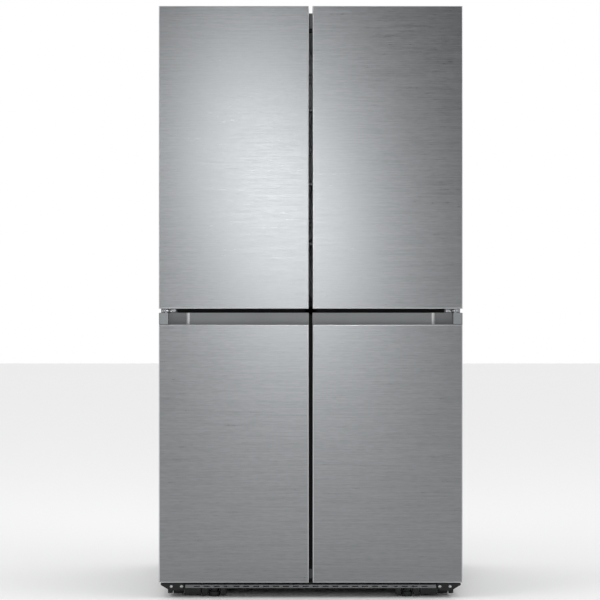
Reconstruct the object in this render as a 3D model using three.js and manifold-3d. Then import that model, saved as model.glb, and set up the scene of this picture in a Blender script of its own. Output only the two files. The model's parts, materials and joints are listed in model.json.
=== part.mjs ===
// French-door refrigerator: a foamed cabinet with one wide fresh-food compartment above
// and two side-by-side compartments below, each closed by a side-hinged door.
// Millimetres, +Z up, doors facing -Y. The origin is on the floor under the middle.

import * as THREE from 'three';
import { mergeVertices } from 'three/addons/utils/BufferGeometryUtils.js';
import Module from 'manifold-3d';

const wasm = await Module();
wasm.setup();

// ---- Driving dimensions -------------------------------------------------------------

// Overall sizes
const WIDTH = 912;
const DEPTH = 730;
const HEIGHT = 1778;

// Doors
const LOWER_DOOR_DROP = 3;
const ROW_SPLIT_Z = 863;
const ROW_GAP = 12;
const CENTRE_GAP = 11;
const DOOR_THICKNESS = 56;
const DOOR_CORNER_RADIUS = 4;
const SKIN = 1.2;
const SKIN_RIM = 4;
const BOTTOM_CAP_HEIGHT = 28;
const TOP_CAP_HEIGHT = 36;
const DYKE_DEPTH = 44;
const DYKE_RIDGE = 28;
const DYKE_CLEARANCE = 6;
const DYKE_SIDE_CLEARANCE = 10;

// Hand grips between the two rows of doors
const GRIP_LIP = 4;
const GRIP_DEPTH = 26;
const GRIP_DEEP_END = 40;
const GRIP_DEEP_LENGTH = 53;
const GRIP_CORNER_RADIUS = 10;
const GRIP_RISE = 35;
const GRIP_POCKET = 20;
const GRIP_END_BLOCK = 28;

// Door seals
const GASKET_DEPTH = 11;
const GASKET_WIDTH = 12;
const GASKET_OVERLAP = 4;
const SEAL_CLEARANCE = 1;

// Cabinet
const CABINET_INSET = 2;
const CABINET_DROP = 12;
const SHEET = 1.2;
const LINER = 2;
const SIDE_WALL = 53;
const TOP_WALL = 45;
const REAR_WALL = 62;
const MID_WALL = 60;
const CENTRE_WALL = 66;
const BOTTOM_WALL = 45;
const LOWER_REAR_WALL = 95;
const MACHINE_ROOM_DEPTH = 235;
const MACHINE_ROOM_HEIGHT = 200;
const MACHINE_ROOM_WALL = 40;

// Hinges
const HINGE_FROM_SIDE = 20;
const HINGE_FROM_FRONT = 38;
const PIN_DIAMETER = 8;
const PIN_CLEARANCE = 1;
const PIN_LENGTH = 20;
const HINGE_PLATE = 4;
const HINGE_TONGUE = 20;
const HINGE_NOTCH_DEPTH = 20;
const HINGE_COVER_HEIGHT = 20;
const HINGE_NOTCH_LENGTH = 65;
const HINGE_NOTCH_FRONT = 8;
const PIN_END_CLEARANCE = 2;

// Flip mullion
const MULLION_WIDTH = 70;
const MULLION_THICKNESS = 14;
const MULLION_PIN = 6;

// Storage
const SHELF_THICKNESS = 6;
const CRISPER_SPACE = 169;
const SHELF_SHARES = [0.285, 0.634];
const STORAGE_WALL = 3;
const DRAWER_SETBACK = 150;
const DRAWER_HINGE_SIDE = 54;
const BIN_SHARES = [0.286, 0.636];
const BIN_HEIGHT = 120;
const BIN_DEPTH = 122;

// Underside
const LEG_FROM_ROLLER = 108.5;
const ROLLER_FROM_HINGE = 36;
const LEG_FOOT_DIAMETER = 33;
const LEG_STUD_DIAMETER = 10;
const FRONT_ROLLER_RADIUS = 16;
const FRONT_ROLLER_LIFT = 6;
const REAR_ROLLER_RADIUS = 20;
const ROLLER_CLEARANCE = 2;
const BEAM_SHEET = 4;
const TRAY_SHEET = 6;
const ROLLER_WIDTH = 30;
const AXLE_DIAMETER = 8;

// Gap between pieces that touch, and the reach of a cut past a face
const GAP = 0.3;
const PAST = 5;

// ---- Places worked out from them ------------------------------------------------------

const FRONT = -DEPTH / 2;
const REAR = DEPTH / 2;
const HALF = WIDTH / 2;
const DOOR_BACK = FRONT + DOOR_THICKNESS;
const CABINET_FRONT = DOOR_BACK + GASKET_DEPTH + SEAL_CLEARANCE;
const CABINET_HALF = HALF - CABINET_INSET;
const CABINET_TOP = HEIGHT - CABINET_DROP;
const BEAM_Z = Math.max(2 * FRONT_ROLLER_RADIUS + FRONT_ROLLER_LIFT + ROLLER_CLEARANCE,
  2 * REAR_ROLLER_RADIUS);
const TRAY_Z = BEAM_Z + BEAM_SHEET;
const CABINET_BOTTOM = TRAY_Z + TRAY_SHEET;
const LOWER_DOOR_BOTTOM = CABINET_BOTTOM - LOWER_DOOR_DROP;
const LOWER_FLOOR = CABINET_BOTTOM + BOTTOM_WALL;
const HINGE_X = HALF - HINGE_FROM_SIDE;
const HINGE_Y = FRONT + HINGE_FROM_FRONT;
const UPPER_DOOR_BOTTOM = ROW_SPLIT_Z + ROW_GAP / 2;
const LOWER_DOOR_TOP = ROW_SPLIT_Z - ROW_GAP / 2;
const OPENING_HALF = CABINET_HALF - SIDE_WALL;
const CENTRE_HALF = CENTRE_WALL / 2;
const UPPER_FLOOR = ROW_SPLIT_Z + MID_WALL / 2;
const UPPER_CEILING = CABINET_TOP - TOP_WALL;
const LOWER_CEILING = ROW_SPLIT_Z - MID_WALL / 2;
const UPPER_REAR = REAR - REAR_WALL;
const LOWER_REAR = REAR - LOWER_REAR_WALL;
const MACHINE_ROOM_FRONT = REAR - MACHINE_ROOM_DEPTH;
const MACHINE_ROOM_TOP = CABINET_BOTTOM + MACHINE_ROOM_HEIGHT;
const STEP_REAR = MACHINE_ROOM_FRONT - MACHINE_ROOM_WALL;
const STEP_TOP = MACHINE_ROOM_TOP + MACHINE_ROOM_WALL;
const CRISPER_COVER_Z = UPPER_FLOOR + CRISPER_SPACE;
const SHELF_Z = SHELF_SHARES.map((share) =>
  Math.round(CRISPER_COVER_Z + share * (UPPER_CEILING - CRISPER_COVER_Z)));
const BIN_Z = BIN_SHARES.map((share) =>
  Math.round(UPPER_FLOOR + share * (UPPER_CEILING - UPPER_FLOOR)));
const ROLLER_X = HINGE_X - ROLLER_FROM_HINGE;
const LEG_X = ROLLER_X - LEG_FROM_ROLLER;

// Door coordinates run from the hinge axis: across to the free edge, and back from it
const DOOR_OUTER = -HINGE_FROM_SIDE;
const DOOR_FREE = HINGE_X - CENTRE_GAP / 2;
const FACE = -HINGE_FROM_FRONT;
const BACK = FACE + DOOR_THICKNESS;
const RETURN = BACK - SKIN_RIM;
const DYKE_START = HINGE_X - OPENING_HALF + DYKE_SIDE_CLEARANCE;
const DYKE_END = HINGE_X - CENTRE_HALF - DYKE_CLEARANCE - DYKE_SIDE_CLEARANCE / 2;
const PIN_HOLE = (PIN_DIAMETER + PIN_CLEARANCE) / 2;

// ---- Finishes ---------------------------------------------------------------------------

const finish = (color, roughness, metalness) =>
  new THREE.MeshStandardMaterial({ color, roughness, metalness });
const STAINLESS = finish(0xb9bbbd, 0.35, 1);
const PAINTED_SHEET = finish(0x8f9295, 0.55, 0.4);
const ZINC = finish(0xc6c8c9, 0.4, 1);
const BLACK_STEEL = finish(0x1c1d1f, 0.6, 0.5);
const GRIP_GREY = finish(0x8c8e90, 0.5, 0.1);
const DARK_PLASTIC = finish(0x2a2b2d, 0.6, 0);
const WHITE_PLASTIC = finish(0xeceded, 0.45, 0);
const SEAL_RUBBER = finish(0x6c6e70, 0.8, 0);
const FOAM = finish(0xe0c98a, 0.9, 0);
const GLASS = finish(0xcfe3e0, 0.05, 0);
const CLEAR_PLASTIC = finish(0xdfe6e8, 0.15, 0);

// ---- Solids -----------------------------------------------------------------------------

// A drawn geometry becomes a solid once only its positions are left, each one shared
function solid(geometry) {
  geometry.deleteAttribute('normal');
  geometry.deleteAttribute('uv');
  const merged = mergeVertices(geometry, 1e-4);
  return new wasm.Manifold(new wasm.Mesh({
    numProp: 3,
    vertProperties: new Float32Array(merged.attributes.position.array),
    triVerts: new Uint32Array(merged.index.array),
  }));
}

// Sets the two ends of a shape exactly, so that faces drawn on one plane stay on it
function stretch(geometry, axis, a, b) {
  const { position } = geometry.attributes;
  for (let i = 0; i < position.count; i += 1) {
    const end = position.getComponent(i, axis) > 0 ? Math.max(a, b) : Math.min(a, b);
    position.setComponent(i, axis, end);
  }
}

function block(x0, x1, y0, y1, z0, z1) {
  const geometry = new THREE.BoxGeometry(1, 1, 1);
  stretch(geometry, 0, x0, x1);
  stretch(geometry, 1, y0, y1);
  stretch(geometry, 2, z0, z1);
  return solid(geometry);
}

// A flat outline, its points rounded so that straight sides stay exactly straight
const onGrid = (value) => Math.round(value * 1e4) / 1e4;
const outlined = (points) =>
  new THREE.Shape(points.map(([x, y]) => new THREE.Vector2(onGrid(x), onGrid(y))));

function prism(points, z0, z1) {
  const geometry = new THREE.ExtrudeGeometry(outlined(points), { depth: 1, bevelEnabled: false });
  geometry.translate(0, 0, -0.5);
  stretch(geometry, 2, z0, z1);
  return solid(geometry);
}

function upright(radius, x, y, z0, z1, sides = 24) {
  const geometry = new THREE.CylinderGeometry(radius, radius, 1, sides);
  geometry.rotateX(Math.PI / 2);
  geometry.translate(x, y, 0);
  stretch(geometry, 2, z0, z1);
  return solid(geometry);
}

function crosswise(radius, x0, x1, y, z, sides = 24) {
  const geometry = new THREE.CylinderGeometry(radius, radius, 1, sides);
  geometry.rotateZ(Math.PI / 2);
  geometry.translate(0, y, z);
  stretch(geometry, 0, x0, x1);
  return solid(geometry);
}

const join = (...solids) => solids.reduce((whole, next) => whole.add(next));
const cut = (whole, ...tools) => tools.reduce((left, tool) => left.subtract(tool), whole);

function piece(name, shape, material) {
  const { vertProperties, triVerts } = shape.getMesh();
  const geometry = new THREE.BufferGeometry();
  geometry.setAttribute('position', new THREE.BufferAttribute(new Float32Array(vertProperties), 3));
  geometry.setIndex(new THREE.BufferAttribute(new Uint32Array(triVerts), 1));
  geometry.computeVertexNormals();
  const mesh = new THREE.Mesh(geometry, material);
  mesh.name = name;
  return mesh;
}

const refrigerator = new THREE.Group();
const SIDES = [['left', -1], ['right', 1]];

// ---- Cabinet ------------------------------------------------------------------------------

// The three hollows, drawn at their inner faces and grown by a wall
const hollows = {
  fresh_food: (grow, y0) => block(
    -OPENING_HALF - grow, OPENING_HALF + grow, y0, UPPER_REAR + grow,
    UPPER_FLOOR - grow, UPPER_CEILING + grow),
  freezer: (grow, y0) => lowerHollow(-1, grow, y0),
  flex_zone: (grow, y0) => lowerHollow(1, grow, y0),
};

// A lower hollow steps forward at the bottom, over the machine room
function lowerHollow(side, grow, y0) {
  const inner = side * (CENTRE_HALF - grow);
  const outer = side * (OPENING_HALF + grow);
  return join(
    block(inner, outer, y0, STEP_REAR + grow, LOWER_FLOOR - grow, LOWER_CEILING + grow),
    block(inner, outer, y0, LOWER_REAR + grow, STEP_TOP - grow, LOWER_CEILING + grow));
}

const BEHIND_FLANGE = CABINET_FRONT + SHEET + GAP;

function outerWrapper() {
  const outside = block(-CABINET_HALF, CABINET_HALF, CABINET_FRONT, REAR - SHEET - GAP,
    CABINET_BOTTOM, CABINET_TOP);
  const inside = block(-CABINET_HALF + SHEET, CABINET_HALF - SHEET,
    CABINET_FRONT + SHEET, REAR + PAST, CABINET_BOTTOM - PAST, CABINET_TOP - SHEET);
  const openings = Object.values(hollows).map((hollow) => hollow(0, CABINET_FRONT - PAST));
  return cut(outside, inside, ...openings);
}

const CORE_HALF = CABINET_HALF - SHEET - GAP;

function insulatedCore() {
  const body = block(-CORE_HALF, CORE_HALF, BEHIND_FLANGE, REAR - SHEET - GAP,
    CABINET_BOTTOM, CABINET_TOP - SHEET - GAP);
  const machineRoom = block(-HALF, HALF, MACHINE_ROOM_FRONT, REAR + PAST,
    CABINET_BOTTOM - PAST, MACHINE_ROOM_TOP);
  const spaces = Object.values(hollows).map((hollow) => hollow(LINER + GAP, BEHIND_FLANGE - PAST));
  return cut(body, machineRoom, ...spaces);
}

const LEDGE_REACH = 8;
const LEDGE_HEIGHT = 8;
const SHELF_SETBACK = 12;
const SHELF_FRONT = HINGE_Y + DRAWER_SETBACK + SHELF_SETBACK;
const DUCT_THICKNESS = 24;
const DUCT_FRONT = UPPER_REAR - GAP - DUCT_THICKNESS;
const SHELF_TO_DUCT = 4;
const SHELF_REAR = DUCT_FRONT - SHELF_TO_DUCT;

// Ledges on both side walls carry a shelf at height z
function ledges(z, inner, outer, rear, reach = LEDGE_REACH) {
  return [inner, outer].map((wall) => {
    const towards = wall === outer ? -1 : 1;
    return block(wall - towards * LINER / 2, wall + towards * reach, SHELF_FRONT, rear,
      z - GAP - LEDGE_HEIGHT, z - GAP);
  });
}

function liner(name) {
  return cut(hollows[name](LINER, BEHIND_FLANGE), hollows[name](0, BEHIND_FLANGE - PAST));
}

const UPPER_DRAWER_RISE = 55;
const UPPER_DRAWER_Z = STEP_TOP + UPPER_DRAWER_RISE;
const DRAWER_LEDGE = 17;

function freshFoodLiner() {
  const carried = [...SHELF_Z, CRISPER_COVER_Z];
  return join(liner('fresh_food'),
    ...carried.flatMap((z) => ledges(z, -OPENING_HALF, OPENING_HALF, SHELF_REAR)));
}

function lowerLiner(name, side) {
  const walls = [side * CENTRE_HALF, side * OPENING_HALF].sort((a, b) => a - b);
  return join(liner(name),
    ...ledges(UPPER_DRAWER_Z, walls[0], walls[1], LOWER_REAR - 20, DRAWER_LEDGE));
}

function rearPanel() {
  return block(-CABINET_HALF, CABINET_HALF, REAR - SHEET, REAR,
    MACHINE_ROOM_TOP, CABINET_TOP);
}

const VENT_SLOTS = 14;
const VENT_PITCH = 52;
const VENT_WIDTH = 30;
const VENT_FROM_BOTTOM = 70;
const VENT_LENGTH = 60;

function machineRoomCover() {
  const plate = block(-CABINET_HALF, CABINET_HALF, REAR - SHEET, REAR,
    CABINET_BOTTOM, MACHINE_ROOM_TOP - GAP);
  const slots = Array.from({ length: VENT_SLOTS }, (_, i) => {
    const x = (i - (VENT_SLOTS - 1) / 2) * VENT_PITCH;
    return block(x - VENT_WIDTH / 2, x + VENT_WIDTH / 2, REAR - PAST, REAR + PAST,
      CABINET_BOTTOM + VENT_FROM_BOTTOM, CABINET_BOTTOM + VENT_FROM_BOTTOM + VENT_LENGTH);
  });
  return cut(plate, ...slots);
}

refrigerator.add(
  piece('outer_wrapper', outerWrapper(), PAINTED_SHEET),
  piece('insulated_core', insulatedCore(), FOAM),
  piece('fresh_food_liner', freshFoodLiner(), WHITE_PLASTIC),
  piece('freezer_liner', lowerLiner('freezer', -1), WHITE_PLASTIC),
  piece('flex_zone_liner', lowerLiner('flex_zone', 1), WHITE_PLASTIC),
  piece('rear_panel', rearPanel(), PAINTED_SHEET),
  piece('machine_room_cover', machineRoomCover(), PAINTED_SHEET),
);

// ---- Fittings of the fresh-food compartment --------------------------------------------------

const DUCT_HALF = 130;
const DUCT_SLOTS = 5;
const DUCT_SLOT_HALF = 60;
const DUCT_SLOT_HEIGHT = 16;
const DUCT_SLOT_DEPTH = 15;
const DUCT_MARGIN = 30;

function airDuctPanel() {
  const z0 = CRISPER_COVER_Z + DUCT_MARGIN;
  const z1 = UPPER_CEILING - DUCT_MARGIN;
  const panel = block(-DUCT_HALF, DUCT_HALF, DUCT_FRONT, UPPER_REAR - GAP, z0, z1);
  const pitch = (z1 - z0) / DUCT_SLOTS;
  const slots = Array.from({ length: DUCT_SLOTS }, (_, i) => {
    const z = z0 + pitch * (i + 0.5);
    return block(-DUCT_SLOT_HALF, DUCT_SLOT_HALF, DUCT_FRONT - PAST, DUCT_FRONT + DUCT_SLOT_DEPTH,
      z - DUCT_SLOT_HEIGHT / 2, z + DUCT_SLOT_HEIGHT / 2);
  });
  return cut(panel, ...slots);
}

const SHELF_LIP = 14;
const SHELF_LIP_THICKNESS = 10;

function shelf(z) {
  const half = OPENING_HALF - GAP;
  return join(
    block(-half, half, SHELF_FRONT, SHELF_REAR, z, z + SHELF_THICKNESS),
    block(-half, half, SHELF_FRONT, SHELF_FRONT + SHELF_LIP_THICKNESS, z, z + SHELF_LIP));
}

refrigerator.add(
  piece('air_duct_panel', airDuctPanel(), WHITE_PLASTIC),
  piece('shelf_lower', shelf(SHELF_Z[0]), GLASS),
  piece('shelf_upper', shelf(SHELF_Z[1]), GLASS),
  piece('crisper_cover', shelf(CRISPER_COVER_Z), GLASS),
);

// ---- Drawers -----------------------------------------------------------------------------------

const DRAWER_FRONT = HINGE_Y + DRAWER_SETBACK;
const DRAWER_OUTER = HINGE_X - DRAWER_HINGE_SIDE;
const DRAWER_LIP = 12;

// An open-topped box with a rolled grip along its front rim
function drawer(side, inner, rear, z0, z1) {
  const a = side * inner;
  const b = side * DRAWER_OUTER;
  const within = [a + side * STORAGE_WALL, b - side * STORAGE_WALL];
  const shell = cut(
    block(a, b, DRAWER_FRONT, rear, z0, z1),
    block(...within, DRAWER_FRONT + STORAGE_WALL, rear - STORAGE_WALL, z0 + STORAGE_WALL, z1 + PAST));
  const grip = block(...within, DRAWER_FRONT + STORAGE_WALL / 2, DRAWER_FRONT + DRAWER_LIP,
    z1 - STORAGE_WALL, z1);
  return join(shell, grip);
}

const CRISPER_INNER = CENTRE_GAP / 2 + 3;
const CRISPER_HEADROOM = 12;
const LOWER_DRAWER_INNER = CENTRE_HALF + 6;
const UPPER_DRAWER_HEIGHT = 250;
const DRAWER_HEADROOM = 16;
const LOWER_DRAWER_REAR_GAP = 10;
const UPPER_DRAWER_REAR_GAP = 15;
const LOWER_DRAWERS = [
  ['lower', LOWER_FLOOR + GAP, UPPER_DRAWER_Z - DRAWER_HEADROOM, STEP_REAR - LOWER_DRAWER_REAR_GAP],
  ['upper', UPPER_DRAWER_Z, UPPER_DRAWER_Z + UPPER_DRAWER_HEIGHT, LOWER_REAR - UPPER_DRAWER_REAR_GAP],
];

for (const [name, side] of SIDES) {
  refrigerator.add(piece(`crisper_${name}`,
    drawer(side, CRISPER_INNER, SHELF_REAR, UPPER_FLOOR + GAP, CRISPER_COVER_Z - CRISPER_HEADROOM),
    CLEAR_PLASTIC));
  const zone = side < 0 ? 'freezer' : 'flex_zone';
  for (const [level, z0, z1, rear] of LOWER_DRAWERS) {
    refrigerator.add(piece(`${zone}_drawer_${level}`,
      drawer(side, LOWER_DRAWER_INNER, rear, z0, z1), CLEAR_PLASTIC));
  }
}

// ---- Hinges --------------------------------------------------------------------------------------

const TONGUE_OUTER = 8;
const PLATE_INNER = 50;
const PLATE_FRONT = CABINET_FRONT + 7;
const PLATE_LENGTH = 90;
const PLATE_REAR = PLATE_FRONT + PLATE_LENGTH;
const PLATE_FROM_SIDE = 5;
const COVER_WALL = 2;
const COVER_FROM_SIDE = 2;
const COVER_CLEARANCE = 1;

const pin = (side, z0, z1) => upright(PIN_DIAMETER / 2, side * HINGE_X, HINGE_Y, z0, z1);

// A tongue with a round nose about the hinge axis, reaching back to y1
function tongue(side, y1, z0, z1) {
  const middle = side * (HINGE_X + TONGUE_OUTER - HINGE_TONGUE / 2);
  const reach = HINGE_TONGUE / 2;
  return join(
    block(middle - reach, middle + reach, HINGE_Y, y1, z0, z1),
    upright(reach, middle, HINGE_Y, z0, z1));
}

function topHinge(side) {
  const z0 = CABINET_TOP + GAP;
  const z1 = z0 + HINGE_PLATE;
  return join(
    block(side * (HINGE_X - PLATE_INNER), side * (CABINET_HALF - PLATE_FROM_SIDE),
      PLATE_FRONT, PLATE_REAR, z0, z1),
    tongue(side, PLATE_FRONT + PAST, z0, z1),
    pin(side, z0 - PIN_LENGTH, z1));
}

function hingeCover(side) {
  const z0 = CABINET_TOP + GAP;
  const x0 = side * (HINGE_X - PLATE_INNER - COVER_WALL - 4 * COVER_CLEARANCE);
  const x1 = side * (CABINET_HALF - COVER_FROM_SIDE);
  const y0 = PLATE_FRONT - COVER_WALL - COVER_CLEARANCE;
  const y1 = PLATE_REAR + COVER_WALL + COVER_CLEARANCE;
  const shell = cut(
    block(x0, x1, y0, y1, z0, z0 + HINGE_COVER_HEIGHT),
    block(x0 + side * COVER_WALL, x1 - side * COVER_WALL, y0 + COVER_WALL, y1 - COVER_WALL,
      z0 - PAST, z0 + HINGE_COVER_HEIGHT - COVER_WALL));
  const slot = block(
    side * (HINGE_X + TONGUE_OUTER + COVER_CLEARANCE),
    side * (HINGE_X + TONGUE_OUTER - HINGE_TONGUE - COVER_CLEARANCE),
    y0 - PAST, y0 + PAST, z0 - PAST, z0 + HINGE_PLATE + COVER_CLEARANCE);
  return cut(shell, slot);
}

const MID_PLATE = 5;
const MID_FLANGE = 9;
const MID_FLANGE_INNER = 26;
const MID_FLANGE_THICKNESS = 3;
const BRACKET_FROM_SIDE = 2;

function middleHinge(side) {
  const z0 = ROW_SPLIT_Z - MID_PLATE / 2;
  const z1 = ROW_SPLIT_Z + MID_PLATE / 2;
  const y1 = CABINET_FRONT - GAP;
  return join(
    tongue(side, y1, z0, z1),
    block(side * (HINGE_X - MID_FLANGE_INNER), side * (CABINET_HALF - BRACKET_FROM_SIDE),
      y1 - MID_FLANGE_THICKNESS, y1,
      ROW_SPLIT_Z - MID_FLANGE / 2, ROW_SPLIT_Z + MID_FLANGE / 2),
    pin(side, z0 - PIN_LENGTH, z1 + PIN_LENGTH));
}

const SKIRT_FRONT = FRONT + 24;
const SKIRT_BACK = SKIRT_FRONT + 3;
const SKIRT_BOTTOM = 20;
const SKIRT_INNER = HINGE_X - 54;
const SKIRT_SLOPE_START = HINGE_X - 12;
const BRACKET_DEPTH = 57;

// The bottom bracket turns down at the front, its lower edge rising to the outer end
function bottomHinge(side) {
  const z1 = TRAY_Z - GAP;
  const z0 = z1 - MID_PLATE;
  const outer = CABINET_HALF - BRACKET_FROM_SIDE;
  const face = outlined([
    [side * SKIRT_INNER, z1], [side * SKIRT_INNER, SKIRT_BOTTOM + 4],
    [side * SKIRT_SLOPE_START, SKIRT_BOTTOM], [side * outer, z0 - 2], [side * outer, z1],
  ]);
  const skirt = new THREE.ExtrudeGeometry(face, { depth: SKIRT_BACK - SKIRT_FRONT, bevelEnabled: false });
  skirt.rotateX(Math.PI / 2);
  skirt.translate(0, SKIRT_BACK, 0);
  return join(
    solid(skirt),
    block(side * SKIRT_SLOPE_START, side * outer, SKIRT_FRONT, CABINET_FRONT + BRACKET_DEPTH, z0, z1),
    pin(side, z0, z1 + PIN_LENGTH));
}

for (const [name, side] of SIDES) {
  refrigerator.add(
    piece(`top_hinge_${name}`, topHinge(side), ZINC),
    piece(`hinge_cover_${name}`, hingeCover(side), DARK_PLASTIC),
    piece(`middle_hinge_${name}`, middleHinge(side), ZINC),
    piece(`bottom_hinge_${name}`, bottomHinge(side), BLACK_STEEL));
}

// ---- Underside --------------------------------------------------------------------------------------

const LEG_Y = FRONT + 53;
const LEG_HOUSING_Z = 4;
const LEG_FOOT_HEIGHT = 24;
const LEG_BLOCK_GAP = 3;
const LEG_BLOCK_INNER = 18;
const LEG_BLOCK_OUTER = 20;
const WHEEL_GAP = 3;
const CHEEK = 10;
const BEAM_FRONT = FRONT + 39;
const BEAM_BACK = CABINET_FRONT + 7;
const RAIL_INNER = HINGE_X - 56;
const RAIL_OUTER = HINGE_X - 16;
const RAIL_Z = 16;
const FRONT_ROLLER_Y = CABINET_FRONT - 5;
const REAR_ROLLER_Y = REAR - 45;
const AXLE_HOLE = (AXLE_DIAMETER + PIN_CLEARANCE) / 2;

function frontCarrier(side) {
  const housing = (inner, outer, z0, y0 = BEAM_FRONT) =>
    block(side * inner, side * outer, y0, BEAM_BACK + PAST, z0, TRAY_Z);
  const half = LEG_FOOT_DIAMETER / 2;
  const axleZ = FRONT_ROLLER_RADIUS + FRONT_ROLLER_LIFT;
  return [
    housing(LEG_X - half - LEG_BLOCK_INNER, LEG_X - half - LEG_BLOCK_GAP, LEG_HOUSING_Z),
    housing(LEG_X + half + LEG_BLOCK_GAP, LEG_X + half + LEG_BLOCK_OUTER, LEG_HOUSING_Z),
    housing(LEG_X - half - LEG_BLOCK_INNER, LEG_X + half + LEG_BLOCK_OUTER, LEG_FOOT_HEIGHT + 6),
    housing(ROLLER_X - 68, ROLLER_X - ROLLER_WIDTH / 2 - WHEEL_GAP, FRONT_ROLLER_LIFT + 1),
    block(side * (ROLLER_X + ROLLER_WIDTH / 2 + WHEEL_GAP), side * (ROLLER_X + ROLLER_WIDTH / 2 + 16),
      BEAM_FRONT, BEAM_BACK + 20, 10, TRAY_Z - MID_PLATE - 1),
    crosswise(AXLE_DIAMETER / 2, side * (ROLLER_X - 30), side * (ROLLER_X + 25), FRONT_ROLLER_Y, axleZ),
  ];
}

function rearCarrier(side) {
  const cheek = (inner) => block(side * inner, side * (inner + CHEEK),
    REAR_ROLLER_Y - 50, REAR_ROLLER_Y + 22, REAR_ROLLER_RADIUS - 8, CABINET_BOTTOM - GAP);
  return [
    block(side * RAIL_INNER, side * RAIL_OUTER, CABINET_FRONT + 17, REAR_ROLLER_Y - 30,
      RAIL_Z, CABINET_BOTTOM - GAP),
    cheek(ROLLER_X - ROLLER_WIDTH / 2 - WHEEL_GAP - CHEEK),
    cheek(ROLLER_X + ROLLER_WIDTH / 2 + WHEEL_GAP),
    crosswise(AXLE_DIAMETER / 2, side * (ROLLER_X - 25), side * (ROLLER_X + 25),
      REAR_ROLLER_Y, REAR_ROLLER_RADIUS),
  ];
}

const FAN_X = 60;
const FAN_Y = (MACHINE_ROOM_FRONT + REAR) / 2;
const FAN_Z = CABINET_BOTTOM + 100;
const FAN_RADIUS = 75;
const FAN_SHAFT = 4;
const MOTOR_X = FAN_X + 26;
const MOTOR_RADIUS = 18;
const MOTOR_LENGTH = 36;
const POST_THICKNESS = 6;
const POST_HALF = 15;
const TRAY_INSET = 4;

function baseFrame() {
  const tray = block(-CABINET_HALF + TRAY_INSET, CABINET_HALF - TRAY_INSET, BEAM_BACK, REAR - TRAY_INSET,
    TRAY_Z, CABINET_BOTTOM - GAP);
  const beam = block(-RAIL_OUTER, RAIL_OUTER, BEAM_FRONT, BEAM_BACK + PAST, BEAM_Z, TRAY_Z);
  const link = block(-RAIL_OUTER, RAIL_OUTER, BEAM_BACK - PAST, BEAM_BACK + 15, BEAM_Z, CABINET_BOTTOM - GAP);
  const motorPost = block(MOTOR_X, MOTOR_X + POST_THICKNESS, FAN_Y - POST_HALF, FAN_Y + POST_HALF,
    TRAY_Z, FAN_Z + 10);
  const motor = crosswise(MOTOR_RADIUS, MOTOR_X - POST_THICKNESS, MOTOR_X - POST_THICKNESS + MOTOR_LENGTH,
    FAN_Y, FAN_Z, 16);
  const shaft = crosswise(FAN_SHAFT, FAN_X - 8, MOTOR_X + 5, FAN_Y, FAN_Z, 16);
  const frame = join(tray, beam, link, motorPost, motor, shaft,
    ...SIDES.flatMap(([, side]) => [...frontCarrier(side), ...rearCarrier(side)]));
  const studHoles = SIDES.map(([, side]) => upright((LEG_STUD_DIAMETER + PIN_CLEARANCE) / 2,
    side * LEG_X, LEG_Y, LEG_FOOT_HEIGHT, CABINET_BOTTOM));
  return cut(frame, ...studHoles);
}

const KICK_FRONT = FRONT + 27;
const KICK_BOTTOM = 27;
const KICK_TOP = BEAM_Z - 3;
const KICK_SLOTS = 24;
const KICK_STRIP = 4;
const KICK_FRAME = 3.5;

function kickGrille() {
  const half = SKIRT_INNER - 4;
  const strip = block(-half, half, KICK_FRONT, KICK_FRONT + KICK_STRIP, KICK_BOTTOM, KICK_TOP);
  const legs = SIDES.map(([, side]) => block(side * (LEG_X - 60), side * (LEG_X - 40),
    KICK_FRONT + 2, BEAM_FRONT - GAP, KICK_BOTTOM + 2, KICK_TOP));
  const pitch = (2 * half - 40) / KICK_SLOTS;
  const slots = Array.from({ length: KICK_SLOTS }, (_, i) => {
    const x = (i - (KICK_SLOTS - 1) / 2) * pitch;
    return block(x - pitch * 0.3, x + pitch * 0.3, KICK_FRONT - PAST, KICK_FRONT + PAST,
      KICK_BOTTOM + KICK_FRAME, KICK_TOP - KICK_FRAME);
  });
  return join(cut(strip, ...slots), ...legs);
}

function levellingLeg(side) {
  return join(
    upright(LEG_FOOT_DIAMETER / 2, side * LEG_X, LEG_Y, 0, LEG_FOOT_HEIGHT - 10),
    upright(LEG_FOOT_DIAMETER / 3, side * LEG_X, LEG_Y, LEG_FOOT_HEIGHT - 12, LEG_FOOT_HEIGHT, 6),
    upright(LEG_STUD_DIAMETER / 2, side * LEG_X, LEG_Y, LEG_FOOT_HEIGHT - 2, TRAY_Z));
}

function roller(side, radius, y, z) {
  const x = side * ROLLER_X;
  const half = ROLLER_WIDTH / 2;
  return cut(
    crosswise(radius, x - half, x + half, y, z, 32),
    crosswise(AXLE_HOLE, x - half - PAST, x + half + PAST, y, z));
}

const COMPRESSOR_X = -190;
const COMPRESSOR_RADIUS = 92;
const COMPRESSOR_HEIGHT = 165;

// A domed welded can on two feet rails
function compressor() {
  const r = COMPRESSOR_RADIUS;
  const z0 = CABINET_BOTTOM + 12;
  const z1 = z0 + COMPRESSOR_HEIGHT;
  const profile = [
    [0, z0], [r * 0.75, z0], [r * 0.97, z0 + 22], [r, z0 + 60], [r, z1 - 62], [r * 0.9, z1 - 26],
    [r * 0.6, z1 - 6], [0, z1],
  ].map(([x, z]) => new THREE.Vector2(x, z));
  const can = new THREE.LatheGeometry(profile, 28);
  can.rotateX(Math.PI / 2);
  can.translate(COMPRESSOR_X, FAN_Y, 0);
  const feet = [-1, 1].map((end) => block(COMPRESSOR_X + end * 50 - 16, COMPRESSOR_X + end * 50 + 16,
    FAN_Y - r - 6, FAN_Y + r + 6, CABINET_BOTTOM, z0 + 6));
  return join(solid(can), ...feet);
}

const BLADES = 5;
const BLADE_CHORD = 34;
const BLADE_THICKNESS = 3;
const BLADE_PITCH = 0.45;
const HUB_RADIUS = 20;

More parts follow.
